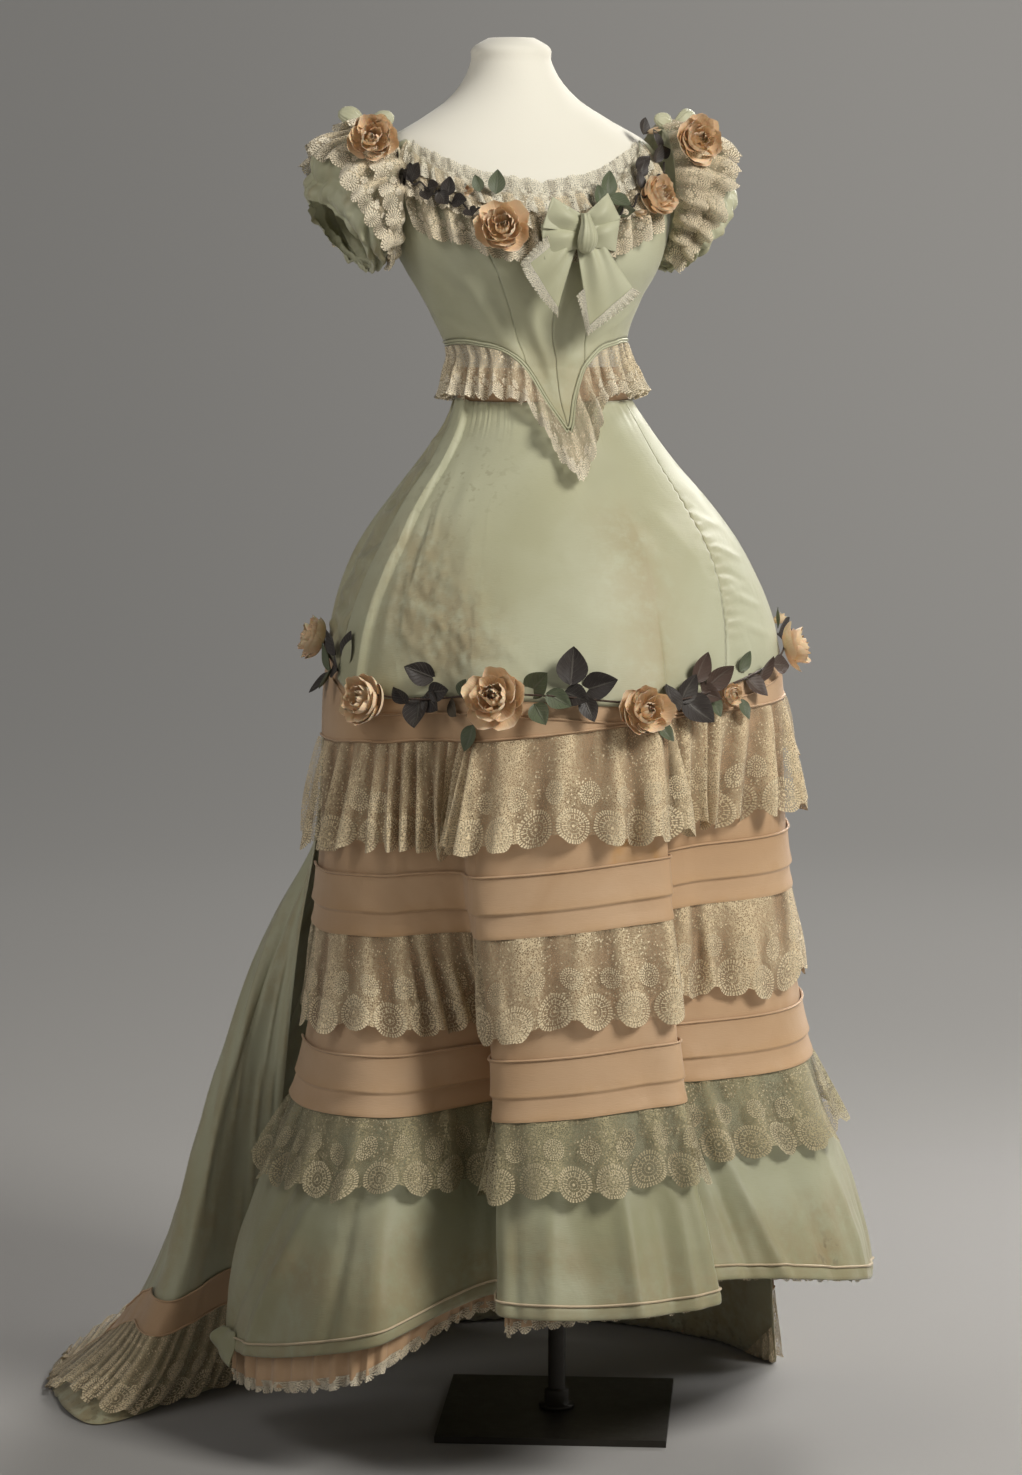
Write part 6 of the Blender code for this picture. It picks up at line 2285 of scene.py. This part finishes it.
@dataclass
class Bow:
    """The centre front bow: knot, loops and two broad tails with fringed lace edges.

    Args:
        silk: The green silk.
        neck: The lace of the tails' edges.
        angle: Degrees from the bodice's centre front.
        height: Height of the knot.
        off: Millimetres that it stands off the bodice.
    """

    silk: bpy.types.Material
    neck: bpy.types.Material
    angle: float = 9.0
    height: float = 1350.0
    off: float = 13.0

    def axes(self) -> tuple[Array, Array, Array, Array]:
        """The bow's middle, and its directions across, down and outwards.

        Returns:
            The middle and the three directions.
        """
        centre = bodice_point(np.array(self.angle), np.array(self.height), np.array(self.off))
        out = centre - bodice_point(np.array(self.angle), np.array(self.height), np.array(-20.0))
        out = out / np.linalg.norm(out)
        down = np.array([0.0, 0.0, -1.0]) + out * out[2]
        down = down / np.linalg.norm(down)
        return centre, np.cross(down, out) * -1.0, down, out

    def patch(self, corners: Rows, bulge: float, pleats: float, seed: int, level: bool = False) -> Grid:
        """A tail or a loop: four corners mixed evenly, with pleats that fan out from the knot.

        Args:
            corners: Across, down and outward places of the top left, top right, foot left and foot right.
            bulge: Millimetres that its middle stands out.
            pleats: Millimetres of the pleats at the knot.
            seed: Sets the pleats.
            level: Whether the pleats run across, as in a loop.

        Returns:
            The cloth with its map.
        """
        centre, across, down, out = self.axes()
        s = np.linspace(0, 1, 30)[:, None]
        t = np.linspace(0, 1, 32)[None]
        mixed = []
        for axis in ("across", "down", "out"):
            a, b, c, d = corners[axis]
            mixed.append((a * (1 - s) + b * s) * (1 - t) + (c * (1 - s) + d * s) * t)
        x, y, z = mixed
        z = z + bulge * np.sin(np.pi * s) * np.sin(np.pi * t ** 0.8)
        z = z + pleats * (1 - 0.8 * t) * np.sin((t * 8 + 2 * s if level else s * 13 + 2 * t)
                                                + seed) + 1.8 * np.sin(3.5 * s + 2.2 * t + seed) * t
        points = centre + x[..., None] * across + y[..., None] * down + z[..., None] * out
        grid = Grid(points)
        facing = (grid.normals() @ out).mean()
        return Grid(grid.points if facing > 0 else grid.points[::-1]).measured()

    def fringe(self, tail: Grid, edge: Array) -> Grid:
        """A narrow crimped lace edge along part of a tail's rim.

        Args:
            tail: The tail's cloth.
            edge: Points along the rim.

        Returns:
            The edge.
        """
        middle = tail.points.mean(axis=(0, 1))
        outward = edge - middle
        outward /= np.linalg.norm(outward, axis=-1, keepdims=True)
        normal = tail.normals().mean(axis=(0, 1))
        t = np.linspace(0, 1, 8)[None, :, None]
        wave = np.sin(np.arange(len(edge)) * 1.9)[:, None, None] * 1.8 * t
        points = edge[:, None] + (12.0 * t - 1.5) * outward[:, None] + (wave + 1.0) * normal
        facing = (Grid(points).normals() @ normal).mean()
        # A full fold height, so that the lace finish paints no shade on the fringe.
        return Grid(points if facing > 0 else points[::-1],
                    masks={"crest": np.ones(points.shape[:2])}).measured()

    def build(self) -> None:
        """Makes the tails, the loops and the knot."""
        centre, across, down, out = self.axes()
        left = self.patch(table("across down out", (-24, 2, 6), (-8, 16, 8), (-64, 34, 8), (-30, 84, 9)), 6,
                          2.0, 1)
        right = self.patch(table("across down out", (-8, 12, 7), (22, 8, 9), (8, 104, 10), (60, 62, 9)), 7,
                           2.4, 2)
        for label, tail, node in (("right", left, "bow_tail_right"), ("left", right, "bow_tail_left")):
            made = make_object(f"{node}_silk", [tail], self.silk, 0.5, [node])
            declare_sheet([tail], Held.FOLDED)
            side = tail.points[0] if (tail.points[0].mean(axis=0) - centre) @ across < (
                tail.points[-1].mean(axis=0) - centre) @ across else tail.points[-1]
            foot = tail.points[:, -1]
            rim = side[4:] if label == "right" else tail.points[-1 if side is tail.points[0] else 0][17:]
            fringes = [self.fringe(tail, resampled(rim, 90)), self.fringe(tail, resampled(foot, 110))]
            lace = make_object(f"{node}_fringe", fringes, self.neck, 0, [])
            declare_sheet(fringes, Held.GATHERED)
        start = centre + 12 * out
        loops = {
            "bow_loop_right": (((-36, -38, 8), (-4, -20, 10), (-48, -4, 7), (-4, 2, 11)),
                               ((-48, -8, 5), (-4, -4, 9), (-46, 30, 7), (-6, 18, 10))),
            "bow_loop_left": (((4, -20, 10), (30, -42, 8), (4, 2, 11), (46, -14, 7)),
                              ((6, -6, 9), (46, -18, 6), (6, 16, 10), (40, 22, 8))),
        }
        for node, rows in loops.items():
            grids = []
            for i, corners in enumerate(rows):
                front = self.patch(table("across down out", *corners), 8, 1.2, 3 + i, True)
                back = self.patch(table("across down out", *corners), -1, 0.6, 5 + i, True)
                grids += [front, Grid(back.points[::-1]).measured()]
            made = make_object(f"{node}_silk", grids, self.silk, 0.5, [node])
            declare_sheet(grids, Held.FOLDED)
        knot = puff(start - 20 * down + 3 * out, down, 44, 22, 14, 8, out)
        make_object("bow_knot_silk", [knot], self.silk, 0.5, ["bow_knot"])


def resampled(line: Array, count: int) -> Array:
    """The same line as so many points at even lengths.

    Args:
        line: Points of the line.
        count: How many points it gets.

    Returns:
        The new points.
    """
    run = np.concatenate([[0.0], np.cumsum(np.linalg.norm(np.diff(line, axis=0), axis=1))])
    wanted = np.linspace(0, run[-1], count)
    return np.stack([np.interp(wanted, run, line[:, axis]) for axis in range(3)], axis=-1)


@dataclass
class Studio:
    """The grey sweep, the soft lights and the camera.

    The camera stands 4.75 m in front of the pole at 18 degrees to the dress's right, 1.36 m up, and
    looks down by 6.9 degrees. Its lens gives 4241 pixels for each unit of slope on a frame of 1475.

    Args:
        azimuth: How far round the dress the camera stands, in radians.
        distance: Metres from the pole to the camera's foot.
        sideways: Metres that the camera is moved across.
        height: Metres above the floor.
        frame_pixels: The photograph's height.
        focal_pixels: The lens, in those pixels.
        below_middle: Pixels from the horizon down to the middle.
        sweep: The paper's colour.
        rim: Metres from the pole to the sweep's rim.
        glow_left: The wall's glow on the camera's left.
        glow_right: Its glow on the camera's right.
        glow_rise: Metres from the pole where the glow starts and where it is whole.
    """

    azimuth: float = math.radians(18.0)
    distance: float = 4.75
    sideways: float = -0.0526
    height: float = 1.36
    frame_pixels: float = 1475.0
    focal_pixels: float = 4241.0
    below_middle: float = 515.0
    sweep: Colour = (0.335, 0.325, 0.314)
    rim: float = 12.5
    glow_left: Colour = (0.124, 0.121, 0.115)
    glow_right: Colour = (0.235, 0.227, 0.213)
    glow_rise: tuple[float, float] = (0.6, 4.2)

    def at(self, across: float, ahead: float, up: float) -> tuple[float, float, float]:
        """A place given across and along the camera's view from the pole, in metres."""
        c, s = math.cos(self.azimuth), math.sin(self.azimuth)
        return across * c + ahead * s, -across * s + ahead * c, up

    def camera(self) -> None:
        """Sets up the camera at the photograph's angle."""
        data = bpy.data.cameras.new("camera")
        data.sensor_width = 36.0
        data.lens = self.focal_pixels / self.frame_pixels * data.sensor_width
        data.clip_end = 60.0
        made = bpy.data.objects.new("camera", data)
        made.location = self.at(self.sideways, -self.distance, self.height)
        pitch = math.atan(self.below_middle / self.focal_pixels)
        made.rotation_euler = (math.pi / 2 - pitch, 0.0, -self.azimuth)
        bpy.context.scene.collection.objects.link(made)
        bpy.context.scene.camera = made

    def light(self, name: str, place: Colour, size: float, power: float, colour: Colour,
              target: Colour = (0.0, 0.0, 0.9), spread: float = 180.0) -> None:
        """One soft square light that faces a target, the middle of the dress unless it is given.

        Args:
            name: The light's name.
            place: Where it hangs, in metres.
            size: Its side in metres.
            power: Watts.
            colour: Its colour.
            target: What it faces, in metres.
            spread: Degrees that its light spreads.
        """
        data = bpy.data.lights.new(name, "AREA")
        data.size = size
        data.energy = power
        data.color = colour
        data.spread = math.radians(spread)
        made = bpy.data.objects.new(name, data)
        made.location = self.at(*place)
        x, y, z = (a - b for a, b in zip(self.at(*place), self.at(*target)))
        made.rotation_euler = (math.atan2(math.hypot(x, y), z), 0.0, math.atan2(x, -y))
        bpy.context.scene.collection.objects.link(made)

    def backdrop(self) -> None:
        """A round floor that rises into a wall on all sides, further off than any view.

        It is flat to 3 m from the pole, and then its height is 5.5 m times the sixth power of the share of
        the way to its rim. Painted light makes it glow, a little more on the camera's right than on its
        left.
        """
        n = Nodes("sweep_paper")
        n.set("Base Color", self.sweep)
        n.set("Roughness", 0.95)
        n.set("Specular IOR Level", 0.1)
        split = n.node("ShaderNodeSeparateXYZ")
        n.plug(n.object_place(), split.inputs[0])
        x, y = split.outputs[0], split.outputs[1]
        c, s = math.cos(self.azimuth), math.sin(self.azimuth)
        across = n.math("SUBTRACT", n.math("MULTIPLY", x, c), n.math("MULTIPLY", y, s))
        far = n.math("SQRT", n.math("ADD", n.math("MULTIPLY", x, x), n.math("MULTIPLY", y, y)))
        # Painted light: away from the pole the sweep glows, more on the camera's right than on its left.
        n.set("Emission Color", n.mix(n.between(across, -2.6, 2.6), self.glow_left, self.glow_right))
        n.set("Emission Strength", n.between(far, *self.glow_rise))
        reach = np.concatenate([np.linspace(0.001, 3, 8), np.linspace(3.2, self.rim, 48)])
        turn = np.linspace(0, 2 * math.pi, 97)[:-1, None]
        up = 5.5 * np.clip((reach - 3) / (self.rim - 3), 0, 1) ** 6
        points = np.stack(np.broadcast_arrays(reach * np.cos(turn), reach * np.sin(turn), up), -1)
        grid = Grid(points[:, ::-1] / MM, ring=True)
        grid = grid if grid.normals()[0, -2, 2] > 0 else Grid(points / MM, ring=True)
        mesh = bpy.data.meshes.new("sweep")
        mesh.from_pydata((grid.points.reshape(-1, 3) * MM).tolist(), [], grid.faces(0).tolist())
        mesh.shade_smooth()
        mesh.materials.append(n.material)
        made = bpy.data.objects.new("sweep", mesh)
        bpy.context.scene.collection.objects.link(made)

    def build(self) -> None:
        """Makes the sweep, the lights, the world and the camera."""
        self.backdrop()
        self.light("key", (2.4, -2.15, 3.1), 1.2, 133.0, (1.0, 0.98, 0.93))
        self.light("fill", (-3.3, -1.7, 2.0), 2.0, 13.0, (1.0, 0.97, 0.92))
        self.light("top", (-1.7, -1.4, 2.7), 1.0, 3.0, (1.0, 0.98, 0.95), (0.0, 0.0, 1.35), 80.0)
        self.light("floor", (1.9, 0.7, 1.7), 1.0, 5.5, (1.0, 0.99, 0.97), (0.95, 0.75, 0.0), 75.0)
        self.light("back", (2.6, 5.0, 4.0), 2.5, 40.0, (1.0, 0.98, 0.95), (0.0, 0.3, 0.8), 60.0)
        world = bpy.data.worlds.new("studio")
        world.use_nodes = True
        background = world.node_tree.nodes["Background"]
        background.inputs["Color"].default_value = (1.0, 0.97, 0.93, 1.0)
        background.inputs["Strength"].default_value = 0.035
        bpy.context.scene.world = world
        bpy.context.scene.view_settings.view_transform = "Standard"
        self.camera()


def main() -> None:
    """Builds the dress over its frame, piece by piece, and reports each."""
    logging.basicConfig(level=logging.INFO, format="%(message)s")
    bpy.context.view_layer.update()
    sage, peach = SAGE.material(), PEACH.material()
    flounce, narrow, neck = FLOUNCE.material(), NARROW.material(), NECK.material()
    Studio().build()
    Stand().build()
    bodice = Bodice(sage)
    bodice.build()
    NeckTrim(sage, narrow, neck, bodice).build()
    FrontSkirt(sage, peach, flounce, SHADED_LACE.material(), narrow, PIPING.material(), SHADED_HEM.material()).build()
    Train(sage, peach, flounce).build()
    Garlands(Petal().material(), Leaf().material(), sage).build()
    Bow(sage, neck).build()


if __name__ == "__main__":
    main()
